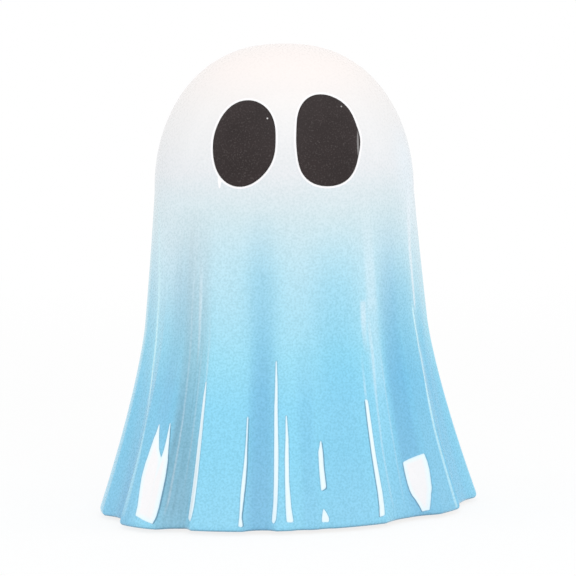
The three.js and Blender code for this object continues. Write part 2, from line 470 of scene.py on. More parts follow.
@dataclass(frozen=True)
class BareBoard(Finish):
    """The sawn and sanded faces of the boards, with the grain along X and overspray at the hem."""

    early: Rgb = (222, 196, 158)
    late: Rgb = (190, 154, 112)
    pore: Rgb = (142, 104, 70)
    overspray: Rgb = (150, 208, 234)
    rings: float = 150.0  # growth rings in a metre
    bend: float = 13.0  # how many rings the grain wanders across
    late_from: float = 0.55  # share of a ring from which it darkens
    darkest: float = 0.86
    bends: Triple = (7, 26, 9)
    pores: Triple = (160, 2600, 2600)
    clouds: float = 22.0
    spatter: float = 420.0
    spatter_reach: float = 0.05
    half_width: float = 81.5  # of the hem, to which the overspray keeps
    half_depth: float = 66.0
    spray_edge: tuple[float, float] = (0.955, 1.02)  # shares of the way out to the hem's edge
    spray_strength: float = 0.85
    oversprayed_below: float = 3.0

    def fill(self, graph: NodeGraph, place: Socket) -> None:
        """Fills in bare wood with its growth rings, pores and overspray.

        Args:
            graph: The material's graph.
            place: The point of the surface.
        """
        bent = graph.speckle(graph.stretched(place, self.bends), 1.0, 3.0, 0.55)
        across = graph.calculated("MULTIPLY", graph.part(place, "Y"), self.rings)
        ring = graph.calculated("ADD", across, graph.calculated("MULTIPLY", bent, self.bend))
        stops = [
            (0.0, self.early), (self.late_from, self.early), (self.darkest, self.late), (1.0, self.early),
        ]
        rings = graph.ramp(graph.calculated("FRACT", ring), stops)
        pores = graph.speckle(graph.stretched(place, self.pores), 1.0, 2.0)
        colour = graph.mixed(graph.spread(pores, 0.55, 0.72, 0.0, 0.45), rings, self.pore)
        cloudy = graph.spread(graph.speckle(place, self.clouds, 3.0), *NOISE_RANGE, 0.9, 1.06)
        colour = graph.mixed(1.0, colour, cloudy, "MULTIPLY")

        scale = (1 / (self.half_width * MM), 1 / (self.half_depth * MM), 0)
        reach = graph.length(graph.stretched(place, scale))
        ragged = graph.calculated("MULTIPLY", graph.speckle(place, self.spatter, 3.0), self.spatter_reach)
        reach = graph.calculated("ADD", reach, ragged)
        spray = graph.spread(reach, *self.spray_edge, 0.0, self.spray_strength)
        low = graph.calculated("LESS_THAN", graph.part(place, "Z"), self.oversprayed_below * MM)
        colour = graph.mixed(graph.calculated("MULTIPLY", spray, low), colour, self.overspray)
        graph.end(Base_Color=colour, Roughness=0.62, Normal=graph.bumped(pores, 0.08))


@dataclass(frozen=True)
class EyeGlint:
    """A painted glint on an eye: its middle's x and z, its half width and half height, and its strength."""

    x: float
    z: float
    across: float
    up: float
    strength: float


@dataclass(frozen=True)
class EyePaint(Finish):
    """Matt black paint with fine lighter specks and painted glints."""

    colour: Rgb = (47, 39, 39)
    speck: Rgb = (92, 86, 85)
    # the colour of the painted glints
    painted_sheen: Rgb = (205, 203, 203)
    specks: float = 1500.0
    clouds: float = 90.0
    # painted glints on the eyes
    flecks: tuple[EyeGlint, ...] = (
        EyeGlint(-7.8, 172.3, 0.36, 0.34, 1.0),
        EyeGlint(23.6, 176.3, 0.34, 0.32, 0.6),
        EyeGlint(30.2, 160.6, 0.42, 5.2, 0.38),
    )

    def fill(self, graph: NodeGraph, place: Socket) -> None:
        """Fills in black paint with its specks and painted glints."""
        fine = graph.speckle(place, self.specks, 2.0, 0.6)
        broad = graph.speckle(place, self.clouds, 3.0)
        specks = graph.spread(fine, 0.5, 0.78, 0.0, 0.55)
        colour = graph.mixed(specks, self.colour, self.speck)
        colour = graph.mixed(1.0, colour, graph.spread(broad, *NOISE_RANGE, 0.9, 1.1), "MULTIPLY")
        # the painted glints
        for eye_glint in self.flecks:
            middle, scale = (eye_glint.x * MM, 0, eye_glint.z * MM), (eye_glint.across * MM, 1, eye_glint.up * MM)
            sockets = {"Vector": place, "Location": middle, "Scale": scale}
            local = graph.add("ShaderNodeMapping", sockets, vector_type="TEXTURE").outputs["Vector"]
            share = graph.spread(graph.length(local), 1.2, 0.7, 0.0, eye_glint.strength)
            colour = graph.mixed(share, colour, self.painted_sheen)
        roughness = graph.spread(fine, *NOISE_RANGE, 0.5, 0.62)
        graph.end(
            Base_Color=colour, Roughness=roughness, Specular_IOR_Level=0.2, Normal=graph.bumped(fine, 0.04)
        )


@dataclass(frozen=True)
class RodBeech(Finish):
    """Bare beech with its grain along the rod."""

    light: Rgb = (214, 176, 132)
    dark: Rgb = (180, 136, 92)
    eye_glint: Rgb = (138, 98, 64)
    grain: Triple = (900, 900, 14)
    flecks: Triple = (2600, 2600, 420)

    def fill(self, graph: NodeGraph, place: Socket) -> None:
        """Fills in beech with its flecks."""
        grain = graph.speckle(graph.stretched(place, self.grain), 1.0, 4.0, 0.6)
        flecks = graph.speckle(graph.stretched(place, self.flecks), 1.0, 1.0)
        colour = graph.mixed(graph.spread(grain, *NOISE_RANGE), self.light, self.dark)
        colour = graph.mixed(graph.spread(flecks, 0.62, 0.7, 0.0, 0.5), colour, self.eye_glint)
        graph.end(Base_Color=colour, Roughness=0.6, Normal=graph.bumped(grain, 0.06))


@dataclass(frozen=True)
class PressedFelt(Finish):
    """Grey felt of matted fibres."""

    dark: Rgb = (62, 65, 70)
    light: Rgb = (112, 116, 122)
    fibres: float = 3200.0
    fibre_stretch: Triple = (1.0, 0.35, 1.0)
    strays: float = 2100.0
    stray_stretch: Triple = (0.3, 1.0, 1.0)

    def fill(self, graph: NodeGraph, place: Socket) -> None:
        """Fills in felt."""
        fibres = graph.speckle(graph.stretched(place, self.fibre_stretch), self.fibres, 4.0, 0.7)
        strays = graph.speckle(graph.stretched(place, self.stray_stretch), self.strays, 2.0, 0.6)
        both = graph.calculated("MAXIMUM", fibres, strays)
        colour = graph.mixed(graph.spread(both, 0.42, 0.72), self.dark, self.light)
        graph.end(
            Base_Color=colour, Roughness=0.95, Sheen_Weight=0.4, Sheen_Roughness=0.5,
            Normal=graph.bumped(both, 0.25),
        )


@dataclass(frozen=True)
class StudioFloor(Finish):
    """Plain white floor that keeps a soft shadow round the statue."""

    shade: float = 0.99
    kept: float = 0.17  # how much of the shadow shows
    near: float = 0.25  # metres from the statue's middle within which it shows so
    far: float = 0.9  # and from which nothing of it shows
    grain: float = 300.0
    mottle: float = 0.01  # how far the shade wanders

    def fill(self, graph: NodeGraph, place: Socket) -> None:
        """Fills in lit white near the statue, and plain white further off.

        Args:
            graph: The material's graph.
            place: The point of the surface.
        """
        shades = (self.shade - self.mottle, self.shade + self.mottle)
        texture = graph.spread(graph.speckle(place, self.grain, 2.0), *NOISE_RANGE, *shades)
        colour = graph.mixed(1.0, WHITE, texture, "MULTIPLY")
        lit = graph.add("ShaderNodeBsdfDiffuse", {"Color": colour}).outputs["BSDF"]
        plain = graph.add("ShaderNodeEmission", {"Color": linear(WHITE), "Strength": 1.0}).outputs["Emission"]
        fade = graph.spread(graph.length(place), self.near, self.far, 1 - self.kept, 1.0)
        share = graph.calculated("MULTIPLY", graph.seen_directly(), fade)
        mixed = graph.add("ShaderNodeMixShader", {0: share, 1: lit, 2: plain})
        graph.add("ShaderNodeOutputMaterial", {"Surface": mixed.outputs["Shader"]})


@dataclass(frozen=True)
class Pleat:
    """A valley that presses the sheet in, or a ridge where its depth is below zero.

    The depth is a share of the deepest pleat's, and the reach a share of the way up to the shoulders.
    """

    azimuth: float
    spread: float
    depth: float
    reach: float


class Side(Enum):
    """The side of a painted highlight on which a dark line of painted shade runs."""

    LEFT = -1
    RIGHT = 1
    NEITHER = 0


@dataclass(frozen=True)
class PaintedHighlight:
    """A painted highlight: a white mark along a fold.

    Each section gives a height and the azimuths of the highlight's left and right edges there, from the
    bottom up. The foot and the head are the heights of the lower and upper edge's left and right ends.
    """

    sections: tuple[Triple, ...]
    foot: tuple[float, float]
    head: tuple[float, float]
    shaded: Side

    @classmethod
    def of(
        cls, *sections: Triple, foot: tuple[float, float],
        head: tuple[float, float] | None = None, shaded: Side = Side.NEITHER,
    ) -> "PaintedHighlight":
        """Makes a painted highlight of its sections, with a level head unless its ends are given."""
        top = sections[-1][0]
        return cls(sections, foot, head or (top, top), shaded)

    def inside(
        self, azimuth: np.ndarray, height: np.ndarray, pace: np.ndarray, shift: float = 0.0, grow: float = 0.0
    ) -> np.ndarray:
        """Gives how far inside the painted highlight's outline points are.

        Args:
            azimuth: The points' azimuths.
            height: Their heights.
            pace: Millimetres to a degree at each of them.
            shift: How far the outline is moved towards its shaded side, and half of it downwards.
            grow: How far both sides of the outline are moved outwards.

        Returns:
            The distance from the outline, below zero outside it.
        """
        heights, lefts, rights = (np.array(column) for column in zip(*self.sections, strict=True))
        middle = (lefts[0] + rights[0]) / 2
        turned = (azimuth - middle + 180) % 360 - 180 + middle - self.shaded.value * shift / pace
        height = height + shift / 2
        left, right = np.interp(height, heights, lefts), np.interp(height, heights, rights)
        low = np.interp(turned, (lefts[0], rights[0]), self.foot)
        high = np.interp(turned, (lefts[-1], rights[-1]), self.head)
        across = np.minimum(pace * (turned - left), pace * (right - turned)) + grow
        return np.minimum.reduce([across, height - low, high - height])


@dataclass(frozen=True)
class HighlightShape:
    """A shape from which several painted highlights are made.

    Each section gives a share of the highlight's height, and half its width and its lean there as shares of
    its greatest width. The foot is how much higher the lower edge's left and right ends are.
    """

    sections: tuple[Triple, ...]
    foot: tuple[float, float]
    head_slope: float = 0.0  # how much lower the head is at its right end, if the shaded side is the right
    mirrored: bool = False  # whether a highlight that is shaded on its left leans the other way

    def at(self, azimuth: float, width: float, bottom: float, top: float, shaded: Side) -> PaintedHighlight:
        """Makes a painted highlight of this shape.

        Args:
            azimuth: Where its middle is.
            width: Its greatest width in degrees.
            bottom: The height of its foot.
            top: The height of its head.
            shaded: The side with the dark line of painted shade.

        Returns:
            The painted highlight.
        """
        sign = shaded.value if self.mirrored else 1
        sections = (
            (bottom + share * (top - bottom), azimuth + (sign * lean - half) * width,
             azimuth + (sign * lean + half) * width)
            for share, half, lean in self.sections
        )
        left, right = self.foot
        head = (top, top - self.head_slope * sign)
        return PaintedHighlight.of(*sections, foot=(bottom + left, bottom + right), head=head, shaded=shaded)


# shapes of the painted highlights on the sides and the back
SLIVER = HighlightShape(
    (
        (0.0, 0.36, -0.1), (0.06, 0.46, -0.04), (0.3, 0.5, 0.0), (0.6, 0.38, 0.02), (0.85, 0.2, 0.05),
        (1, 0.04, 0.06),
    ),
    foot=(0.4, 0),
)
BLOB = HighlightShape(
    (
        (0.0, 0.13, -0.05), (0.1, 0.2, -0.03), (0.3, 0.38, -0.03), (0.5, 0.47, 0.0), (0.75, 0.5, 0.0),
        (0.9, 0.49, 0.01), (0.96, 0.45, 0.03), (1, 0.38, 0.05),
    ),
    foot=(0, 0.4), head_slope=1.5, mirrored=True,
)


@dataclass(frozen=True)
class Wash:
    """A soft band of colour along a fold. Its group tells what it paints: sheen, glints, shade or a cooler
    tint.

    Each section gives a height, the azimuth of the band's middle there, its width in degrees and its
    strength, from the bottom up.
    """

    sections: tuple[tuple[float, float, float, float], ...]
    crispness: float

    @classmethod
    def of(cls, *sections: tuple[float, float, float, float], crispness: float = 4.0) -> "Wash":
        """Makes a wash of its sections, from the bottom up."""
        return cls(sections, crispness)

    def strength_at(self, azimuth: np.ndarray, height: np.ndarray) -> np.ndarray:
        """Gives the wash's strength at points, from 0 to 1."""
        columns = (np.array(column) for column in zip(*self.sections, strict=True))
        heights, middles, widths, strengths = columns
        away = (azimuth - np.interp(height, heights, middles) + 180) % 360 - 180
        across = np.exp(-(np.abs(2 * away / np.interp(height, heights, widths)) ** self.crispness))
        return np.interp(height, heights, strengths, left=0, right=0) * across


LEFT, RIGHT = Side.LEFT, Side.RIGHT

# painted highlights on the front: white marks along the folds
FRONT_HIGHLIGHTS = (
    PaintedHighlight.of(
        (2.9, -52.1, -46), (9, -52.3, -46), (15, -53.3, -46), (20.5, -54.1, -46.2), (26.5, -54, -46.5),
        (29, -53.6, -47), (30, -53.5, -47.6), (32.5, -53.2, -48.9), (36.5, -52.7, -50), (38.4, -52.2, -50.5),
        (42.4, -51.6, -51.4), foot=(5.3, 3.1),
    ),
    PaintedHighlight.of(
        (2.7, -48.8, -44.5), (5, -49, -44), (9, -49, -43.8), (20.5, -49.1, -43.8), (26.5, -47.9, -44),
        (29, -47, -44.2), (32.5, -46.5, -44.7), (36.5, -46.4, -45.2), (43.3, -46.3, -46.1), foot=(4.2, 2.7),
        shaded=RIGHT,
    ),
    PaintedHighlight.of(
        (4.1, -34.3, -32.5), (5.7, -34, -32.2), (10.6, -34.1, -31.9), (22.4, -34.3, -32.1),
        (36.2, -34.6, -32.6), (48.1, -34.6, -33.1), (55, -34.5, -33.3), (61, -34, -33.6), foot=(5.1, 4.1),
    ),
    PaintedHighlight.of(
        (2.2, -16.7, -15.5), (4.3, -16.7, -15.7), (6.3, -16.6, -16), (15, -16.7, -15.7), (20, -16.6, -15.5),
        (28, -16.2, -15.4), (36, -16, -15.6), (47, -16, -15.7), foot=(2.8, 2.1), shaded=RIGHT,
    ),
    PaintedHighlight.of(
        (3.5, -6.8, -6.2), (5.2, -6.8, -5.6), (12.2, -6.4, -5.2), (20, -6.3, -5), (32, -6.3, -4.9),
        (50, -6.3, -5.2), (60, -6, -5.2), (70, -5.8, -5.5), foot=(3.9, 3.5),
    ),
    PaintedHighlight.of(
        (3.9, -2.2, -0.3), (5, -2.4, -0.5), (10, -2.6, -1), (20, -2.7, -1.5), (30, -2.7, -1.5),
        (38, -2.4, -1.5), (44, -2.3, -1.8), (47.5, -2.2, -2), foot=(4.1, 3.8),
    ),
    PaintedHighlight.of((3.1, 8.1, 10.3), (4.9, 8.2, 10.3), (6.9, 8.5, 9.7), (8.5, 8.8, 9), foot=(3.3, 3.1)),
    PaintedHighlight.of(
        (16, 8.6, 10.2), (25, 8.4, 9.9), (32, 8.5, 9.9), (34, 9, 9.8), (36.4, 9.4, 9.6), foot=(16, 17),
        shaded=RIGHT,
    ),
    PaintedHighlight.of(
        (3.5, 26.3, 28), (7.5, 26.8, 28.4), (13.6, 27.1, 28.7), (29.7, 27.2, 28.6), (44.7, 27.5, 28.9),
        (51.8, 27.7, 28.9), foot=(3.5, 3.9), head=(52, 51.6), shaded=LEFT,
    ),
    PaintedHighlight.of(
        (2.2, 45.1, 47.4), (4.2, 44.7, 48), (7.4, 43.6, 48.8), (9.4, 42.6, 49.2), (11.4, 42, 49.8),
        (14.4, 41.6, 50.1), (19.5, 41.4, 50.6), (23, 41.4, 50.6), (26.5, 41.9, 50.2), foot=(2.3, 2.6),
        head=(23.8, 26.3), shaded=LEFT,
    ),
)

# a small painted highlight below the left eye
UNDER_EYE_HIGHLIGHT = PaintedHighlight.of((141.6, -30.9, -30.3), (145, -31.6, -29.8), (147.6, -31.6, -28.6), foot=(141.6, 141.6))

# painted highlights on the sides and the back
BACK_HIGHLIGHTS = (
    SLIVER.at(95.5, 1.2, 3.0, 38.0, LEFT),
    SLIVER.at(106.5, 1.4, 3.4, 60.0, RIGHT),
    BLOB.at(114.5, 6.0, 3.0, 27.0, RIGHT),
    SLIVER.at(134.0, 1.6, 3.2, 58.0, RIGHT),
    SLIVER.at(144.5, 1.3, 3.0, 44.0, LEFT),
    SLIVER.at(155.5, 1.4, 3.4, 66.0, RIGHT),
    SLIVER.at(167.0, 1.3, 3.0, 50.0, LEFT),
    SLIVER.at(180.5, 1.6, 3.2, 62.0, RIGHT),
    SLIVER.at(196.5, 1.3, 3.0, 42.0, LEFT),
    SLIVER.at(207.5, 1.4, 3.2, 56.0, RIGHT),
    SLIVER.at(218.0, 1.5, 3.0, 48.0, LEFT),
    BLOB.at(236.5, 7.0, 3.0, 25.0, LEFT),
    SLIVER.at(244.5, 1.3, 3.2, 36.0, LEFT),
    SLIVER.at(256.5, 1.4, 3.0, 58.0, RIGHT),
    SLIVER.at(268.5, 1.2, 3.0, 34.0, LEFT),
)

# painted sheen: soft whitish highlight lines and bands
SHEEN_WASHES = (
    Wash.of(
        (84, -64, 26, 0), (110, -64, 26, 0.24), (130, -64, 30, 0.24), (148, -66, 30, 0.08), (160, -66, 30, 0),
        crispness=2.4,
    ),
    Wash.of(
        (100, 72, 20, 0), (118, 72, 22, 0.3), (130, 72, 24, 0.6), (150, 73, 30, 0.65), (168, 73, 30, 0),
        crispness=2.4,
    ),
    Wash.of((3, -64, 8, 0), (14, -64, 9, 0.1), (50, -64, 8, 0.08), (66, -64, 8, 0)),
    Wash.of(
        (5, -42.3, 0.55, 0), (12, -41.8, 0.55, 0.28), (36, -41.8, 0.55, 0.28), (50, -42, 0.55, 0.18),
        (90, -43, 0.7, 0.12), (112, -42.5, 0.7, 0.1), (130, -40, 1, 0),
    ),
    Wash.of((12, -37.8, 0.6, 0), (36, -37.5, 0.6, 0.16), (70, -37.5, 0.7, 0.1), (80, -37.6, 0.7, 0)),
    Wash.of(
        (66, -39, 0.8, 0), (78, -39, 1.0, 0.3), (94, -39, 1.6, 0.35), (106, -39, 2, 0.15), (114, -39, 2, 0),
    ),
    Wash.of((56, -33.9, 1.0, 0), (66, -33.9, 1.0, 0.25), (76, -33.9, 1.2, 0.12), (94, -33.9, 1.4, 0)),
    Wash.of((50, 28.3, 1.1, 0), (56, 28.3, 1.1, 0.3), (62, 28.5, 1.2, 0.15), (72, 28.8, 1.4, 0)),
    Wash.of(
        (4, 33.4, 1, 0), (10, 33, 1, 0.15), (30, 32.8, 1, 0.22), (50, 33.7, 1.2, 0.24), (70, 34.8, 1.6, 0.26),
        (80, 34.4, 1.8, 0.15), (92, 34, 2, 0),
    ),
    Wash.of(
        (70, 31.5, 2.4, 0), (78, 31.3, 2.6, 0.25), (86, 31.4, 3, 0.5), (92.5, 31.6, 3, 0.4),
        (93.5, 31.6, 3, 0),
    ),
    Wash.of(
        (20, 35.5, 7, 0), (50, 36, 7, 0.06), (60, 36, 7, 0.15), (80, 36, 7, 0.2), (90, 36, 7, 0.14),
        (94, 36, 7, 0.1),
    ),
    Wash.of(
        (86, 36.3, 5.6, 0), (94, 36.3, 5.6, 0.28), (108, 36.3, 5.6, 0.3), (124, 36.3, 6, 0.12),
        (136, 36, 6, 0),
    ),
    Wash.of((3, 38.4, 0.7, 0), (20, 38.6, 0.7, 0.15), (60, 39, 0.7, 0.15), (76, 39, 0.9, 0)),
    Wash.of((52, 64.6, 3, 0), (60, 65.6, 3.2, 0.12), (66, 66, 2.6, 0.15), (71, 66.2, 1.4, 0)),
    Wash.of(
        (84.5, 65.4, 0.6, 0), (89, 65.7, 2.5, 0.64), (100, 65.5, 2.8, 0.7), (112, 65.6, 3.2, 0.62),
        (124, 67, 4, 0.4), (135, 70, 5, 0.2), (148, 72, 5, 0),
    ),
    Wash.of((30, 98, 1.2, 0), (60, 98.4, 1.2, 0.35), (90, 98.8, 1.4, 0.3), (112, 99, 1.6, 0)),
    Wash.of((28, 140, 1.6, 0), (64, 140, 1.6, 0.35), (90, 140.5, 2, 0.3), (118, 141, 2.4, 0)),
    Wash.of((36, 189, 1.2, 0), (70, 189, 1.2, 0.35), (92, 188.6, 1.4, 0.3), (114, 188, 1.8, 0)),
    Wash.of((30, 234, 1.6, 0), (66, 234, 1.8, 0.35), (94, 233.6, 2.2, 0.3), (120, 233, 2.4, 0)),
    Wash.of((34, 262, 1, 0), (60, 262, 1.1, 0.35), (88, 262.3, 1.2, 0.3), (110, 262.6, 1.4, 0)),
)

# painted glints: the bright highlight lines near both sides
GLINT_WASHES = (
    Wash.of(
        (4, -58.5, 2.2, 0.16), (12, -58.5, 2.2, 0.3), (30, -59.4, 2.2, 0.38), (38, -60.3, 2.2, 0.56),
        (44, -62.5, 2.2, 0.68), (53, -65.4, 2, 0.7), (63, -67.4, 1.9, 0.7), (80, -68.3, 1.9, 0.68),
        (92, -67.7, 1.9, 0.56), (104, -68.4, 2.4, 0.42), (124, -72, 3, 0.2), (140, -76, 4, 0),
    ),
    Wash.of(
        (1.5, 59.6, 1.5, 0.5), (14, 59.8, 1.5, 0.56), (35, 60, 1.5, 0.66), (45, 60.9, 1.6, 0.78),
        (52, 61.8, 1.7, 0.82), (58, 62.9, 1.7, 0.8), (62, 64, 1.8, 0.78), (67, 64.7, 1.6, 0.7),
        (69.5, 65, 0.8, 0),
    ),
    Wash.of(
        (65.5, 63.2, 0.6, 0), (69, 63.7, 1.7, 0.76), (75, 64.2, 1.9, 0.84), (82, 62.9, 1.9, 0.84),
        (86.5, 62.2, 1.8, 0.8), (90, 61.8, 0.6, 0),
    ),
)

# painted shade in the valleys and towards the sides, with some broad darker bands across the front
SHADE_WASHES = (
    Wash.of(
        (22, -49.5, 9, 0), (34, -49, 9, 0.6), (46, -48.6, 9, 0.75), (60, -48.4, 9, 0.5),
        (80, -48.2, 9.4, 0.36), (100, -48.5, 10, 0.3), (118, -49, 11, 0), crispness=2.4,
    ),
    Wash.of(
        (0, -10.6, 9, 0.9), (30, -10.8, 9, 0.95), (50, -11, 9.2, 0.6), (70, -11, 9.5, 0.2), (90, -11, 10, 0),
    ),
    Wash.of(
        (30, -10.6, 9.5, 0), (50, -10.8, 9.5, 0.35), (70, -11, 10, 0.6), (95, -11.4, 11, 0.5),
        (134, -12, 12, 0), crispness=2.2,
    ),
    Wash.of((0, 5, 5, 0.25), (40, 4.8, 5.5, 0.35), (60, 4.8, 6, 0.2), (80, 5, 7, 0)),
    Wash.of(
        (0, 18, 20, 0.25), (30, 18, 20, 0.3), (80, 18, 22, 0.24), (100, 18, 22, 0.15), (124, 18, 22, 0),
        crispness=2.6,
    ),
    Wash.of((0, 44, 8, 0.3), (30, 44.4, 8, 0.65), (70, 45, 9, 0.4), (100, 46, 10, 0.3), (130, 48, 12, 0)),
    Wash.of(
        (0, 49.5, 22, 0.55), (30, 50, 22, 0.6), (70, 51, 22, 0.72), (90, 51, 22, 0.55), (110, 51, 20, 0.22),
        (136, 51, 20, 0), crispness=3.0,
    ),
    Wash.of((0, 36, 8, 0.3), (20, 36, 8, 0.2), (50, 36, 8, 0)),
    Wash.of((0, 71, 24, 0.42), (50, 71, 23, 0.52), (76, 71, 18, 0.42), (96, 71, 14, 0.08), (120, 71, 14, 0)),
    Wash.of((0, -61, 20, 0.7), (30, -61, 18, 0.5), (60, -58, 16, 0.5), (90, -58, 14, 0.2), (120, -58, 14, 0)),
    Wash.of((0, -74, 16, 0.6), (40, -76, 12, 0.5), (100, -76, 12, 0.3), (120, -76, 12, 0)),
    Wash.of((0, -66, 12, 0.3), (50, -67, 12, 0.35), (66, -67, 12, 0), crispness=2.4),
)

# painted grey shade on the left, most of it in the valley there
GREY_SHADE_WASHES = (
    Wash.of(
        (0, -38.6, 11, 0.7), (10, -38.8, 10.4, 1), (30, -39.4, 10, 1), (50, -39.8, 10, 0.85),
        (90, -40, 11, 0.5), (110, -40.5, 12, 0.3), (134, -41, 14, 0),
    ),
    Wash.of((4, -42.6, 4, 0), (30, -42.8, 4, 0.35), (60, -43, 4, 0.1), (80, -43, 4, 0)),
    Wash.of(
        (44, -49, 12, 0), (60, -49, 12, 0.26), (84, -48, 13, 0.32), (104, -50, 17, 0.28),
        (118, -52, 22, 0.24), (134, -52, 24, 0), crispness=2.6,
    ),
)

COOL_WASHES = (
    Wash.of((0, 70, 22, 0.75), (50, 71, 20, 0.75), (76, 72, 16, 0.85), (96, 72, 14, 0), crispness=3.0),
    Wash.of((50, 20, 22, 0), (64, 20, 22, 0.34), (100, 20, 22, 0.4), (130, 20, 22, 0), crispness=2.6),
    Wash.of((36, 54, 20, 0), (60, 54, 20, 0.35), (96, 54, 20, 0.35), (116, 54, 20, 0), crispness=2.6),
    Wash.of((60, -11, 16, 0), (80, -11, 16, 0.25), (104, -11, 18, 0.4), (132, -11, 18, 0), crispness=2.2),
)


@dataclass(frozen=True)
class DrapedSheet:
    """The outline of the sheet, with its pleats and its rounded hem."""

    head_half_width: float = 55.8
    head_half_depth: float = 45.2
    body_height: float = 200.0
    dome_height: float = 62.0
    dome_fullness: float = 0.43
    taper: float = 14.4
    taper_curve: float = 1.12
    flare: float = 12.9
    flare_height: float = 80.0
    flare_curve: float = 1.45
    hem_sway: float = 0.106  # how far the hem swings forward for each millimetre to the viewer's left
    hem_rounding: float = 2.5
    sanding: float = 0.35  # how much is sanded off at the hem, and ever less towards the shoulders
    pleat_depth: float = 5.0
    pleat_growth: float = 1.4
    pleat_flatness: float = 3.0
    pleat_softness: float = 1.4
    search_rounds: int = 8  # how often the search for a point's azimuth goes round
    fine_rows: int = 4000  # how finely the outline is walked to divide it
    pleats: tuple[Pleat, ...] = (
        Pleat(-69.8, 10.5, 0.73, 0.9),
        Pleat(-51.8, 16.0, -0.7, 0.78),
        Pleat(-38.2, 6.0, 0.68, 0.96),
        Pleat(-10.6, 5.4, 0.58, 0.87),
        Pleat(1.8, 2.8, 0.18, 0.5),
        Pleat(9.5, 2.6, 0.16, 0.33),
        Pleat(39.8, 11.5, 0.94, 0.97),
        Pleat(73.6, 12.0, 0.9, 0.9),
        Pleat(101.0, 7.0, 0.76, 0.85),
        Pleat(126.0, 10.0, 1.0, 0.96),
        Pleat(150.0, 7.0, 0.72, 0.84),
        Pleat(173.5, 8.0, 0.92, 0.93),
        Pleat(202.0, 7.0, 0.72, 0.83),
        Pleat(226.0, 10.0, 1.0, 0.94),
        Pleat(250.0, 7.5, 0.76, 0.87),
    )

    @property
    def shoulder_height(self) -> float:
        """Height at which the skirt ends and the dome starts."""
        return self.body_height - self.dome_height

    def half_width(self, height: np.ndarray) -> np.ndarray:
        """Gives half the sheet's width, pleats aside.

        Args:
            height: Heights above the hem's underside.

        Returns:
            Half the width at each.
        """
        rise = np.clip((height - self.shoulder_height) / self.dome_height, 0, 1)
        fall = np.clip((self.shoulder_height - height) / self.shoulder_height, 0, None)
        flare = np.clip((self.flare_height - height) / self.flare_height, 0, None)
        head = self.head_half_width * (1 - rise**2) ** self.dome_fullness
        return head + self.taper * fall**self.taper_curve + self.flare * flare**self.flare_curve

    def half_depth(self, height: np.ndarray) -> np.ndarray:
        """Gives half the sheet's depth at each height, pleats aside."""
        return self.half_width(height) * self.head_half_depth / self.head_half_width

    def pressed(self, azimuth: np.ndarray, height: np.ndarray) -> np.ndarray:
        """Gives how far the pleats press the sheet in.

        Args:
            azimuth: Azimuths of the points.
            height: Their heights.

        Returns:
            The distance inwards at each point, below zero on a ridge.
        """
        depth = np.zeros(np.broadcast(azimuth, height).shape)
        for pleat in self.pleats:
            top = self.shoulder_height * pleat.reach
            away = (azimuth - pleat.azimuth + 180) % 360 - 180
            share = np.clip(np.abs(away) / pleat.spread, 0, 1)
            growth = np.clip((top - height) / top, 0, None) ** self.pleat_growth
            profile = (1 - share**self.pleat_flatness) ** self.pleat_softness
            depth += self.pleat_depth * pleat.depth * growth * profile
        return depth

    def sway(self, height: np.ndarray) -> np.ndarray:
        """Gives how far the sheet swings forward at each height, for each millimetre to the viewer's left."""
        return self.hem_sway * np.clip(1 - height / self.shoulder_height, 0, 1)

    def inset(self, height: np.ndarray) -> np.ndarray:
        """Gives how far sanding and the hem's rounded lower edge draw the sheet in at each height."""
        below = np.clip(self.hem_rounding - height, 0, self.hem_rounding)
        sanded = self.sanding * np.clip(1 - height / self.shoulder_height, 0, 1)
        return self.hem_rounding - np.sqrt(self.hem_rounding**2 - below**2) + sanded

    def point(self, azimuth: np.ndarray, height: np.ndarray) -> np.ndarray:
        """Gives points of the sheet.

        Args:
            azimuth: Their azimuths.
            height: Their heights.

        Returns:
            One row of x, y and z for each.
        """
        turn = np.radians(azimuth)
        inwards = self.pressed(azimuth, height) + self.inset(height)
        x = (self.half_width(height) - inwards) * np.sin(turn)
        y = self.sway(height) * x - (self.half_depth(height) - inwards) * np.cos(turn)
        return np.stack([x, y, SHELF_TO_HEM + height + 0 * turn], axis=-1)

    def azimuth_of(self, points: np.ndarray) -> np.ndarray:
        """Finds the azimuths of points that lie on the sheet.

        Args:
            points: One row of x, y and z for each.

        Returns:
            Their azimuths.
        """
        x, height = points[:, 0], self.height_of(points)
        y = points[:, 1] - self.sway(height) * x
        inwards = np.zeros(len(points))
        for _ in range(self.search_rounds):
            width = np.maximum(self.half_width(height) - inwards, HAIR)
            depth = np.maximum(self.half_depth(height) - inwards, HAIR)
            azimuth = np.degrees(np.arctan2(x / width, -y / depth))
            inwards = self.pressed(azimuth, height) + self.inset(height)
        return azimuth

    def height_of(self, points: np.ndarray) -> np.ndarray:
        """Gives the heights of points above the hem's underside."""
        return np.clip(points[:, 2] - SHELF_TO_HEM, 0, self.body_height)

    def normal(self, azimuth: np.ndarray, height: np.ndarray) -> np.ndarray:
        """Gives the sheet's outward normals.

        Args:
            azimuth: The points' azimuths.
            height: Their heights.

        Returns:
            One unit vector for each point.
        """
        step = 0.02
        along = self.point(azimuth + step, height) - self.point(azimuth - step, height)
        high, low = np.clip(height + step, 0, self.body_height), np.clip(height - step, 0, None)
        up = self.point(azimuth, high) - self.point(azimuth, low)
        normal = np.cross(along, up)
        length = np.linalg.norm(normal, axis=-1, keepdims=True)
        flat = length < HAIR**4  # at the crown's top
        normal[flat[..., 0]] = (0, 0, 1)
        return normal / np.where(flat, 1, length)

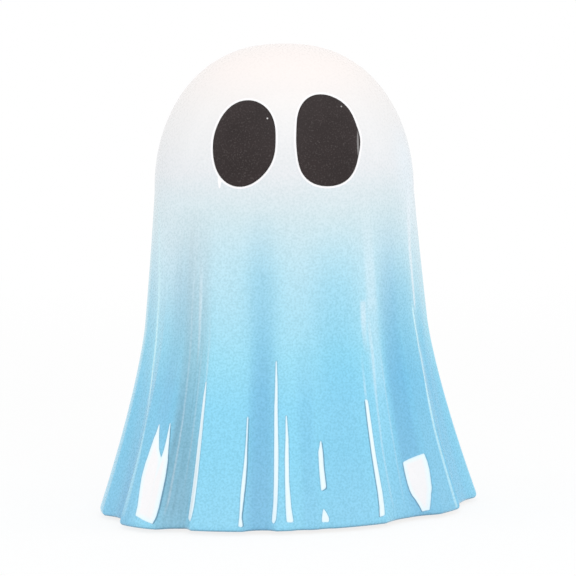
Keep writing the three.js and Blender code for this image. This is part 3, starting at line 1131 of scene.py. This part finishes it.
    def rows(self, bottom: float, top: float, spacing: float) -> np.ndarray:
        """Divides the outline between two heights evenly along its own length.

        Args:
            bottom: The lower height.
            top: The upper height.
            spacing: Roughly how far apart the rows are.

        Returns:
            The rows' heights from the bottom up, both ends among them.
        """
        fine = top - (top - bottom) * np.linspace(1, 0, self.fine_rows) ** 2
        reach = self.half_width(fine) - self.inset(fine)
        walked = np.concatenate([[0], np.cumsum(np.hypot(np.diff(fine), np.diff(reach)))])
        count = math.ceil(walked[-1] / spacing) + 1
        return np.interp(np.linspace(0, walked[-1], count), walked, fine)

    def face_y(self, x: np.ndarray, z: np.ndarray, out: np.ndarray) -> np.ndarray:
        """Gives how far forward the face is, moved out of its surface by some distance.

        Args:
            x: Places across the face.
            z: Heights above the shelf.
            out: Distances out of the surface.

        Returns:
            The y of each point.
        """
        height = z - SHELF_TO_HEM
        across = x / (self.half_width(height) + out)
        return -(self.half_depth(height) + out) * np.sqrt(np.clip(1 - across**2, 0, None))


def read(items: bpy.types.bpy_prop_collection, name: str, kind: type, width: int) -> np.ndarray:
    """Reads one property of all items of a mesh.

    Args:
        items: The vertices, faces or corners.
        name: The property.
        kind: The numbers' type.
        width: How many numbers each item has.

    Returns:
        One row for each item.
    """
    flat = np.empty(len(items) * width, kind)
    items.foreach_get(name, flat)
    return flat.reshape(-1, width)


def coordinates(mesh: bpy.types.Mesh) -> np.ndarray:
    """Reads a mesh's vertices in millimetres, one row for each."""
    return read(mesh.vertices, "co", np.float32, 3).astype(float) / MM


def move_vertices(mesh: bpy.types.Mesh, points: np.ndarray) -> None:
    """Moves a mesh's vertices to points in millimetres."""
    mesh.vertices.foreach_set("co", (points * MM).astype(np.float32).ravel())
    mesh.update()


def spun(profile: Sequence[Sequence[float]], steps: int) -> bmesh.types.BMesh:
    """Spins a profile in the plane of X and Z about the Z axis.

    Args:
        profile: The profile's points, x and z each, in millimetres, from the axis back to the axis.
        steps: How many steps make the full turn.

    Returns:
        The closed shape, with its seam and poles merged and its faces outwards.
    """
    shape = bmesh.new()
    points = [shape.verts.new((x * MM, 0, z * MM)) for x, z in profile]
    lines = [shape.edges.new(pair) for pair in zip(points, points[1:], strict=False)]
    bmesh.ops.spin(
        shape, geom=points + lines, cent=(0, 0, 0), axis=(0, 0, 1), dvec=(0, 0, 0), angle=math.tau,
        steps=steps, use_merge=True, use_duplicate=False,
    )
    bmesh.ops.remove_doubles(shape, verts=shape.verts, dist=2 * HAIR * MM)
    bmesh.ops.recalc_face_normals(shape, faces=shape.faces)
    return shape


def draw_in(shape: bmesh.types.BMesh, beyond: float, depth: Callable[[Vector], float]) -> None:
    """Draws the wall of a spun shape in towards the Z axis.

    Args:
        shape: The shape.
        beyond: The distance from the axis beyond which points are drawn in.
        depth: How far a point is drawn in, by its place in metres.
    """
    for vertex in shape.verts:
        away = math.hypot(vertex.co.x, vertex.co.y) / MM
        if away > beyond:
            shrink = 1 - depth(vertex.co) / away
            vertex.co.x *= shrink
            vertex.co.y *= shrink


def made_object(
    name: str, shape: bmesh.types.BMesh, *materials: bpy.types.Material
) -> bpy.types.Object:
    """Turns a shape into an object of the scene.

    Args:
        name: The object's name.
        shape: The shape, which is freed.
        materials: What fills the object's material slots.

    Returns:
        The object, at the origin.
    """
    mesh = bpy.data.meshes.new(name)
    shape.to_mesh(mesh)
    shape.free()
    for material in materials:
        mesh.materials.append(material)
    made = bpy.data.objects.new(name, mesh)
    bpy.context.scene.collection.objects.link(made)
    return made


def smooth(mesh: bpy.types.Mesh, angle: float = 35.0) -> None:
    """Shades a mesh smooth, with its edges sharp where its faces meet at more than an angle in degrees."""
    mesh.polygons.foreach_set("use_smooth", [True] * len(mesh.polygons))
    mesh.set_sharp_from_angle(angle=math.radians(angle))


def place_at(
    made: bpy.types.Object, aim: Vector, azimuth: float, elevation: float, distance: float, roll: float = 0.0
) -> None:
    """Puts a lamp or a camera into the scene.

    Args:
        made: The lamp or the camera.
        aim: What it faces.
        azimuth: Where it stands, seen from there.
        elevation: How high it stands, in degrees.
        distance: How far away it stands, in metres.
        roll: How far it is rolled, in degrees.
    """
    out = direction(azimuth, elevation)
    made.location = aim + out * distance
    made.rotation_mode = "QUATERNION"
    level = out.to_track_quat("Z", "Y")
    made.rotation_quaternion = level @ Quaternion((0, 0, 1), math.radians(-roll))
    bpy.context.scene.collection.objects.link(made)


def dress(piece: bpy.types.Object, node: str) -> None:
    """Lets a piece stand for a CAD node.

    Args:
        piece: The piece.
        node: The node's name.
    """
    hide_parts(node)
    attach(piece, ROOT_BODY)
    logger.info("%s stands for %s, with %d faces", piece.name, node, len(piece.data.polygons))


LEFT_EYE_WAVES = ((0.006, -0.015), (-0.127, 0.067), (0.001, 0.001), (0.003, -0.018), (-0.005, -0.001))
RIGHT_EYE_WAVES = (
    (-0.038, 0.001), (-0.154, -0.029), (0.034, -0.007), (-0.002, 0.014), (0, 0.001), (0.011, -0.003),
)


@dataclass(frozen=True)
class OvalEye:
    """One black oval eye, let into the face, and the pocket that it sits in.

    Its roundness is the rim's mean distance from the middle as a share of the half height. Each wave adds a
    cosine and a sine of the angle from the viewer's right and upwards, and repeats once more round the rim
    than the wave before it.
    """

    node: str
    side: int
    roundness: float
    waves: tuple[tuple[float, float], ...]
    sheet: DrapedSheet
    offset: float = 17.7
    drop: float = 39.3
    half_height: float = 18.0
    sink: float = 3.0
    proud: float = 0.4
    crown: float = 0.35  # how much further its middle stands out
    edge: float = 0.5
    slack: float = 0.08  # how much its wall is sanded back
    clearance: float = 0.1
    mouth: float = 0.1
    over: float = 3.0  # how far out of the face the pocket's cutter has a ring of its own
    behind: float = 9.0  # counts as the distance from the rim at the back of the body
    steps: int = 180
    face_rings: int = 24
    back_rings: int = 8
    wall_rings: int = 5

    def rim_radius(self, angle: np.ndarray) -> np.ndarray:
        """Gives the rim's distance from the eye's middle at angles in radians."""
        share = self.roundness
        for repeats, (across, up) in enumerate(self.waves, 1):
            share = share + across * np.cos(repeats * angle) + up * np.sin(repeats * angle)
        return share * self.half_height

    def outside(self, points: np.ndarray) -> np.ndarray:
        """Gives how far outside the rim points of the sheet are, seen from the front."""
        x = points[..., 0] - self.side * self.offset
        z = points[..., 2] - SHELF_TO_HEM - self.sheet.body_height + self.drop
        away = np.hypot(x, z) - self.rim_radius(np.arctan2(z, x))
        return np.where(points[..., 1] < 0, away, self.behind)

    def mapped(self, shape: bmesh.types.BMesh, grow: Callable[[np.ndarray], np.ndarray]) -> None:
        """Moves a spun disc on to the face.

        Args:
            shape: A disc about the Z axis, of a radius of 1, whose heights are distances out of the face.
            grow: How far the rim grows at each distance out of the face.
        """
        shape.verts.ensure_lookup_table()
        flat = np.array([vertex.co for vertex in shape.verts]) / MM
        angle = np.arctan2(flat[:, 1], flat[:, 0])
        out = flat[:, 2]
        away = (self.rim_radius(angle) + grow(out)) * np.hypot(flat[:, 0], flat[:, 1])
        x = self.side * self.offset + away * np.cos(angle)
        z = SHELF_TO_HEM + self.sheet.body_height - self.drop + away * np.sin(angle)
        y = self.sheet.face_y(x, z, out)
        for vertex, place in zip(shape.verts, np.stack([x, y, z], axis=-1) * MM, strict=True):
            vertex.co = place

    def build(self, paint: bpy.types.Material) -> None:
        """Makes the eye of its paint."""
        round_off = self.edge / self.half_height
        fillet = [
            (1 - round_off * (1 - math.cos(angle)), self.proud - self.edge * (1 - math.sin(angle)))
            for angle in np.radians(range(0, 91, 15))
        ]
        inner = np.linspace(1 - round_off, 0, self.face_rings)[1:]
        face = [(share, self.proud + self.crown * (1 - (share / (1 - round_off)) ** 2)) for share in inner]
        back = [(share, -self.sink) for share in np.linspace(0, 1, self.back_rings)]
        wall = [(1.0, level) for level in np.linspace(-self.sink, fillet[0][1], self.wall_rings)[1:-1]]
        shape = spun(back + wall + fillet + face, self.steps)
        self.mapped(shape, lambda out: 0 * out - self.slack)
        piece = made_object(f"painted_{self.node}", shape, paint)
        smooth(piece.data)
        dress(piece, self.node)

    def pocket(self, paint: bpy.types.Material) -> bpy.types.Object:
        """Makes the solid that is cut out of the boards for the eye.

        Args:
            paint: The material of the pocket's walls.

        Returns:
            The cutter, which is removed after it has been used.
        """
        depth = self.sink + self.clearance
        levels = [-depth, -depth / 2, -self.mouth, 0.0, self.mouth, self.over, self.sheet.head_half_depth / 4]
        profile = [(0.0, -depth), *[(1.0, level) for level in levels], (0.0, levels[-1])]
        shape = spun(profile, self.steps)
        self.mapped(shape, lambda out: self.clearance + np.clip(out + self.mouth, 0, 2 * self.mouth))
        return made_object(f"{self.node}_pocket", shape, paint)


@dataclass(frozen=True)
class FoldPaint:
    """What was painted over the sprayed lacquer: painted highlights, washes along the folds of painted sheen,
    glints and shade and of a cooler tint, and the eyes' rims.
    """

    sheet: DrapedSheet
    eyes: tuple[OvalEye, ...]
    # painted highlights, and the washes of painted sheen, painted glints, painted shade, painted grey shade
    # and a cooler tint
    highlights: tuple[PaintedHighlight, ...] = FRONT_HIGHLIGHTS + BACK_HIGHLIGHTS
    painted_sheen: tuple[Wash, ...] = SHEEN_WASHES
    glint: tuple[Wash, ...] = GLINT_WASHES
    painted_shade: tuple[Wash, ...] = SHADE_WASHES
    grey_shade: tuple[Wash, ...] = GREY_SHADE_WASHES
    cool: tuple[Wash, ...] = COOL_WASHES
    line: float = 0.55  # width of the painted shade line on a highlight's shaded side
    halo: float = 0.45  # width of the fainter painted shade line on both its sides
    rim: float = 1.0  # width of the white rim round an eye
    back_from: float = 85.0  # azimuth from which every valley has a plain wash of painted shade
    limit: float = 4.0  # the furthest distance from an outline that is told apart

    def pace(self, azimuth: np.ndarray, height: np.ndarray) -> np.ndarray:
        """Gives the millimetres to a degree along the sheet at points."""
        turn = np.radians(azimuth)
        width, depth = self.sheet.half_width(height), self.sheet.half_depth(height)
        return np.maximum(np.hypot(width * np.cos(turn), depth * np.sin(turn)) * math.pi / 180, HAIR)

    def valley_washes(self) -> tuple[Wash, ...]:
        """Makes a wash of painted shade for each valley of the sides and the back."""
        return tuple(
            Wash.of(
                (0, pleat.azimuth, 1.5 * pleat.spread, 0.8 * pleat.depth),
                (60, pleat.azimuth, 1.6 * pleat.spread, 0.8 * pleat.depth),
                (self.sheet.shoulder_height * pleat.reach, pleat.azimuth, 1.8 * pleat.spread, 0),
            )
            for pleat in self.sheet.pleats
            if pleat.azimuth > self.back_from
        )

    def layers(self, azimuth: np.ndarray, height: np.ndarray) -> dict[str, np.ndarray]:
        """Works out what the lacquer's material reads at points of the sheet.

        Args:
            azimuth: The points' azimuths.
            height: Their heights.

        Returns:
            The value of each attribute at each point.
        """
        pace = self.pace(azimuth, height)
        points = self.sheet.point(azimuth, height)
        # white painted highlights, with fainter painted shade lines on both their sides
        white = [each.inside(azimuth, height, pace) for each in self.highlights]
        halo = [each.inside(azimuth, height, pace, grow=self.halo) for each in self.highlights]
        rims = [self.rim - eye.outside(points) for eye in self.eyes]
        # the small painted highlight below the left eye goes with the eyes' white rims
        rims.append(UNDER_EYE_HIGHLIGHT.inside(azimuth, height, pace))
        # dark painted shade lines on the highlights' shaded sides
        lined = [each for each in self.highlights if each.shaded is not Side.NEITHER]
        line = [each.inside(azimuth, height, pace, self.line) for each in lined]
        washes = {
            "painted_sheen": self.painted_sheen, "glint": self.glint, "painted_shade": self.painted_shade + self.valley_washes(),
            "grey_shade": self.grey_shade, "cool": self.cool,
        }
        values = {
            name: np.clip(sum(wash.strength_at(azimuth, height) for wash in group), 0, 1)
            for name, group in washes.items()
        }
        for name, group in {"highlight": white, "halo": halo, "rim": rims, "line": line}.items():
            values[name] = np.clip(np.maximum.reduce(group), -self.limit, self.limit)
        return values


@dataclass(frozen=True)
class IndexRod:
    """A grooved beech rod that keeps the boards in line."""

    node: str
    x: float
    sheet: DrapedSheet
    diameter: float = 10.0
    clearance: float = 0.3
    cover: float = 10.0
    chamfer: float = 1.0
    groove: float = 0.2
    grooves: int = 16
    steps: int = 128
    rings: int = 24
    hole_steps: int = 48

    def ends(self) -> tuple[float, float]:
        """Gives the heights of the rod's bottom and top above the shelf."""
        width = abs(self.x) + self.diameter / 2 + self.clearance
        narrowing = (width / self.sheet.head_half_width) ** (1 / self.sheet.dome_fullness)
        dome = self.sheet.shoulder_height + self.sheet.dome_height * math.sqrt(1 - narrowing)
        return SHELF_TO_HEM + self.cover, SHELF_TO_HEM + dome - self.cover

    def build(self, wood: bpy.types.Material) -> None:
        """Makes the rod of its wood."""
        bottom, top = self.ends()
        radius = self.diameter / 2
        levels = np.linspace(bottom + self.chamfer, top - self.chamfer, self.rings)
        sides = [(radius, level) for level in levels]
        slope = radius - self.chamfer
        shape = spun([(0, bottom), (slope, bottom), *sides, (slope, top), (0, top)], self.steps)
        draw_in(shape, radius - self.chamfer / 2, self.groove_depth)
        bmesh.ops.translate(shape, verts=shape.verts, vec=(self.x * MM, 0, 0))
        piece = made_object(f"grooved_{self.node}", shape, wood)
        smooth(piece.data)
        dress(piece, self.node)

    def groove_depth(self, point: Vector) -> float:
        """Gives how deep the grooves are in the direction of a point."""
        wave = 0.5 + 0.5 * math.cos(self.grooves * math.atan2(point.y, point.x))
        return self.groove * wave**3

    def hole(self, wood: bpy.types.Material) -> bpy.types.Object:
        """Makes the solid that is bored out of the boards for the rod.

        Args:
            wood: The material of the hole's wall.

        Returns:
            The cutter, which is removed after it has been used.
        """
        bottom, top = self.ends()
        bottom, top = bottom - self.clearance, top + self.clearance
        shape = bmesh.new()
        radius = (self.diameter / 2 + self.clearance) * MM
        bmesh.ops.create_cone(
            shape, cap_ends=True, segments=self.hole_steps, radius1=radius, radius2=radius,
            depth=(top - bottom) * MM, matrix=Matrix.Translation((self.x * MM, 0, (top + bottom) / 2 * MM)),
        )
        return made_object(f"{self.node}_hole", shape, wood)


@dataclass(frozen=True)
class Board:
    """One board of the stack."""

    node: str
    slot: Slot


@dataclass(frozen=True)
class BoardStack:
    """The body: boards glued into a stack, carved to the sheet and lacquered over their edges."""

    sheet: DrapedSheet
    paint: FoldPaint
    boards: tuple[Board, ...] = (
        Board("hem_board", Slot.SKY_BLUE),
        Board("lower_skirt_board", Slot.SKY_BLUE),
        Board("upper_skirt_board", Slot.LIGHT_BLUE),
        Board("waist_board", Slot.LIGHT_BLUE),
        Board("chest_board", Slot.PALE_BLUE),
        Board("neck_board", Slot.COOL_WHITE),
        Board("face_board", Slot.WARM_WHITE),
        Board("crown_board", Slot.WARM_WHITE),
    )
    thickness: float = 25.0
    spokes: int = 720
    skirt_spokes: int = 1440
    skirt_boards: int = 4
    spacing: float = 0.75
    skirt_spacing: float = 1.0
    streak_unit: float = 100.0  # height to one unit of what the lacquer's streaks read

    def blank(self, index: int) -> bmesh.types.BMesh:
        """Makes one board before anything is cut out of it.

        Args:
            index: The board's place in the stack, from the bottom.

        Returns:
            The board's closed shape.
        """
        bottom = index * self.thickness
        top = bottom + self.thickness
        in_skirt = index < self.skirt_boards
        heights = self.sheet.rows(bottom, top, self.skirt_spacing if in_skirt else self.spacing)
        spokes = self.skirt_spokes if in_skirt else self.spokes
        shape = bmesh.new()
        circle = bmesh.ops.create_circle(
            shape, segments=spokes, radius=self.sheet.head_half_width * MM,
            matrix=Matrix.Translation((0, 0, bottom * MM)),
        )
        ring = set(circle["verts"])
        for low, high in zip(heights, heights[1:], strict=False):
            edges = {edge for point in ring for edge in point.link_edges if edge.is_boundary or edge.is_wire}
            lifted = bmesh.ops.extrude_edge_only(
                shape, edges=[edge for edge in edges if all(point in ring for point in edge.verts)]
            )["geom"]
            ring = {part for part in lifted if isinstance(part, bmesh.types.BMVert)}
            bmesh.ops.translate(shape, verts=list(ring), vec=(0, 0, (high - low) * MM))
        if index == len(self.boards) - 1:
            bmesh.ops.pointmerge(shape, verts=list(ring), merge_co=(0, 0, top * MM))
        rims = [edge for edge in shape.edges if edge.is_boundary]
        bmesh.ops.edgeloop_fill(shape, edges=rims, mat_nr=Layer.BARE.value, use_smooth=False)
        bmesh.ops.recalc_face_normals(shape, faces=shape.faces)
        return shape

    def carve(self, piece: bpy.types.Object) -> None:
        """Moves a board's edge from the round blank to the pleated sheet."""
        round_points = coordinates(piece.data)
        azimuth = np.degrees(np.arctan2(round_points[:, 0], -round_points[:, 1]))
        points = self.sheet.point(azimuth, round_points[:, 2])
        pole = np.hypot(round_points[:, 0], round_points[:, 1]) < HAIR
        points[pole, :2] = 0
        move_vertices(piece.data, points)

    def cut(self, piece: bpy.types.Object, cutters: Sequence[bpy.types.Object]) -> None:
        """Cuts solids out of a board.

        Args:
            piece: The board.
            cutters: The solids, of which those that miss the board are passed over.
        """
        heights = coordinates(piece.data)[:, 2]
        for cutter in cutters:
            reach = coordinates(cutter.data)[:, 2]
            if reach.min() < heights.max() and reach.max() > heights.min():
                boolean = piece.modifiers.new(cutter.name, "BOOLEAN")
                boolean.operation = "DIFFERENCE"
                boolean.solver = "EXACT"
                boolean.material_mode = "TRANSFER"
                boolean.object = cutter
        whole = piece.data
        evaluated = piece.evaluated_get(bpy.context.evaluated_depsgraph_get())
        piece.data = bpy.data.meshes.new_from_object(evaluated)
        piece.modifiers.clear()
        bpy.data.meshes.remove(whole)

    def finish_skin(self, mesh: bpy.types.Mesh) -> None:
        """Gives the lacquered skin of a cut board the sheet's normals and what its material reads."""
        smooth(mesh)
        points = coordinates(mesh)
        height = self.sheet.height_of(points)
        azimuth = self.sheet.azimuth_of(points)
        for name, values in self.paint.layers(azimuth, height).items():
            layer = mesh.attributes.new(name, "FLOAT", "POINT")
            layer.data.foreach_set("value", values.astype(np.float32))
        turn = np.radians(azimuth)
        around = np.stack([np.sin(turn), -np.cos(turn), height / self.streak_unit], axis=-1)
        place = mesh.attributes.new("around", "FLOAT_VECTOR", "POINT")
        place.data.foreach_set("vector", around.astype(np.float32).ravel())

        normals = read(mesh.corner_normals, "vector", np.float32, 3)
        vertex = read(mesh.loops, "vertex_index", np.int32, 1)[:, 0]
        corners = read(mesh.polygons, "loop_total", np.int32, 1)[:, 0]
        worn = read(mesh.polygons, "material_index", np.int32, 1)[:, 0]
        on_skin = np.repeat(worn == Layer.SKIN.value, corners)
        normals[on_skin] = self.sheet.normal(azimuth, height)[vertex[on_skin]]
        mesh.normals_split_custom_set(normals)

    def build(
        self, skin: bpy.types.Material, bare: bpy.types.Material, cutters: Sequence[bpy.types.Object]
    ) -> None:
        """Makes the boards from the hem up.

        Args:
            skin: The lacquer on their edges.
            bare: The wood of their faces.
            cutters: What is cut out of them.
        """
        for index, board in enumerate(self.boards):
            piece = made_object(f"lacquered_{board.node}", self.blank(index), skin, bare)
            self.carve(piece)
            self.cut(piece, cutters)
            self.finish_skin(piece.data)
            dress(piece, board.node)


@dataclass(frozen=True)
class FeltPad:
    """A round felt pad under the hem."""

    place: str
    azimuth: float
    sheet: DrapedSheet
    diameter: float = 14.0
    inset: float = 24.0
    edge: float = 0.3
    fuzz: float = 0.09
    fibres: float = 2600.0  # noise cells in a metre
    glued: float = 0.1  # how near to the hem its wall is even
    steps: int = 96
    flat_rings: int = 12
    wall_rings: int = 6
    top_rings: int = 8

    def build(self, felt: bpy.types.Material) -> None:
        """Makes the pad of its felt."""
        node = f"{self.place}_felt_pad"
        radius = self.diameter / 2
        foot = [
            (radius - self.edge * (1 - math.sin(angle)), self.edge * (1 - math.cos(angle)))
            for angle in np.radians(range(0, 91, 30))
        ]
        level_until = 1 - 2 * self.edge / radius
        flat = [(share * radius, 0.0) for share in np.linspace(0, level_until, self.flat_rings)]
        sides = [(radius, level) for level in np.linspace(self.edge, SHELF_TO_HEM, self.wall_rings)[1:]]
        top = [(share * radius, SHELF_TO_HEM) for share in np.linspace(1, 0, self.top_rings)[1:]]
        shape = spun([*flat, *foot, *sides, *top], self.steps)
        draw_in(shape, radius - self.edge, self.fuzz_depth)
        turn, hem = math.radians(self.azimuth), np.array(0.0)
        x = (float(self.sheet.half_width(hem)) - self.inset) * math.sin(turn)
        y = self.sheet.hem_sway * x - (float(self.sheet.half_depth(hem)) - self.inset) * math.cos(turn)
        bmesh.ops.translate(shape, verts=shape.verts, vec=(x * MM, y * MM, 0))
        piece = made_object(f"fuzzy_{node}", shape, felt)
        smooth(piece.data, 60)
        dress(piece, node)

    def fuzz_depth(self, point: Vector) -> float:
        """Gives how far the ragged wall is drawn in at a point, which is nothing next to the hem."""
        if point.z >= (SHELF_TO_HEM - self.glued) * MM:
            return 0.0
        return self.fuzz * (0.5 + 0.5 * noise.noise(point * self.fibres))


@dataclass(frozen=True)
class Softbox:
    """A flat rectangular lamp that faces the statue, with its lengths in metres."""

    name: str
    azimuth: float
    elevation: float
    distance: float
    width: float
    height: float
    radiance: float

    def build(self, aim: Vector) -> None:
        """Makes the lamp, which the camera doesn't see, and lets it face a point."""
        lamp = bpy.data.lights.new(self.name, "AREA")
        lamp.shape = "RECTANGLE"
        lamp.size, lamp.size_y = self.width, self.height
        lamp.energy = self.radiance * math.pi * self.width * self.height
        made = bpy.data.objects.new(self.name, lamp)
        made.visible_camera = False
        place_at(made, aim, self.azimuth, self.elevation, self.distance)
        logger.info("lamp %s at azimuth %g", self.name, self.azimuth)


@dataclass(frozen=True)
class Studio:
    """The floor, the surroundings and the lamps, with their lengths in metres."""

    floor_size: float = 12.0
    floor_cells: int = 8
    ambience: float = 0.81
    aim: Triple = (0.0, 0.0, 0.03)
    lamps: tuple[Softbox, ...] = (
        Softbox("key_softbox", 4.0, 45.0, 1.6, 1.0, 1.0, 1.6),
        Softbox("left_softbox", -85.0, 30.0, 1.3, 0.36, 0.72, 1.1),
        Softbox("right_softbox", 85.0, 30.0, 1.3, 0.4, 0.8, 1.0),
    )

    def build_floor(self) -> None:
        """Makes the floor."""
        shape = bmesh.new()
        cells = self.floor_cells
        bmesh.ops.create_grid(shape, x_segments=cells, y_segments=cells, size=self.floor_size / 2)
        floor = made_object("studio_floor", shape, StudioFloor().material("studio_floor"))

    def build_world(self) -> None:
        """Surrounds the statue with white, at a lower strength where it only lights."""
        world = bpy.data.worlds.new("white_studio")
        bpy.context.scene.world = world
        graph = NodeGraph(world)
        strength = graph.spread(graph.seen_directly(), 0.0, 1.0, self.ambience, 1.0)
        background = graph.add("ShaderNodeBackground", {"Color": linear(WHITE), "Strength": strength})
        graph.add("ShaderNodeOutputWorld", {"Surface": background.outputs["Background"]})

    def build(self) -> None:
        """Makes the floor, the surroundings and the lamps."""
        self.build_floor()
        self.build_world()
        for lamp in self.lamps:
            lamp.build(Vector(self.aim))
        bpy.context.scene.view_settings.view_transform = "Standard"


@dataclass(frozen=True)
class PortraitCamera:
    """The camera, with its lengths in metres, which shows its target a little off the picture's middle."""

    target: Triple = (0.0, 0.0, 0.1)
    distance: float = 1.55
    azimuth: float = -1.8
    elevation: float = 6.6
    roll: float = 0.96
    focal_pixels: float = 3588.0
    picture: int = 576
    target_pixel: tuple[float, float] = (285.75, 278.8)
    sensor: float = 36.0  # in millimetres
    clip: tuple[float, float] = (0.05, 60.0)

    def build(self) -> None:
        """Makes the camera and uses it."""
        data = bpy.data.cameras.new("portrait_camera")
        data.sensor_width = self.sensor
        data.lens = self.focal_pixels * self.sensor / self.picture
        data.clip_start, data.clip_end = self.clip
        half = self.picture / 2
        data.shift_x = (half - self.target_pixel[0]) / self.picture
        data.shift_y = (self.target_pixel[1] - half) / self.picture
        camera = bpy.data.objects.new("portrait_camera", data)
        place_at(camera, Vector(self.target), self.azimuth, self.elevation, self.distance, self.roll)
        bpy.context.scene.camera = camera
        logger.info("camera %g m away", self.distance)


def main() -> None:
    """Builds the pieces, the studio and the camera in order, and reports each."""
    logging.basicConfig(level=logging.INFO, format="%(name)s: %(message)s")
    PortraitCamera().build()

    sheet = DrapedSheet()
    eyes = (
        OvalEye("left_eye", -1, 0.84, LEFT_EYE_WAVES, sheet),
        OvalEye("right_eye", 1, 0.894, RIGHT_EYE_WAVES, sheet),
    )
    rods = [IndexRod("left_index_rod", -22.0, sheet), IndexRod("right_index_rod", 22.0, sheet)]
    bare = BareBoard().material("bare_board")
    pocket_paint = PocketPaint().material("pocket_undercoat")

    cutters = [rod.hole(bare) for rod in rods] + [eye.pocket(pocket_paint) for eye in eyes]
    lacquer = OmbreLacquer().material("ombre_lacquer")
    BoardStack(sheet, FoldPaint(sheet, eyes)).build(lacquer, bare, cutters)
    for cutter in cutters:
        bpy.data.objects.remove(cutter)

    eye_paint = EyePaint().material("eye_paint")
    for eye in eyes:
        eye.build(eye_paint)
    rod_wood = RodBeech().material("rod_beech")
    for rod in rods:
        rod.build(rod_wood)
    felt = PressedFelt().material("pressed_felt")
    pads = {"front_left": -51, "front_right": 51, "rear_left": -129, "rear_right": 129}
    for place, azimuth in pads.items():
        FeltPad(place, azimuth, sheet).build(felt)

    Studio().build()


if __name__ == "__main__":
    main()
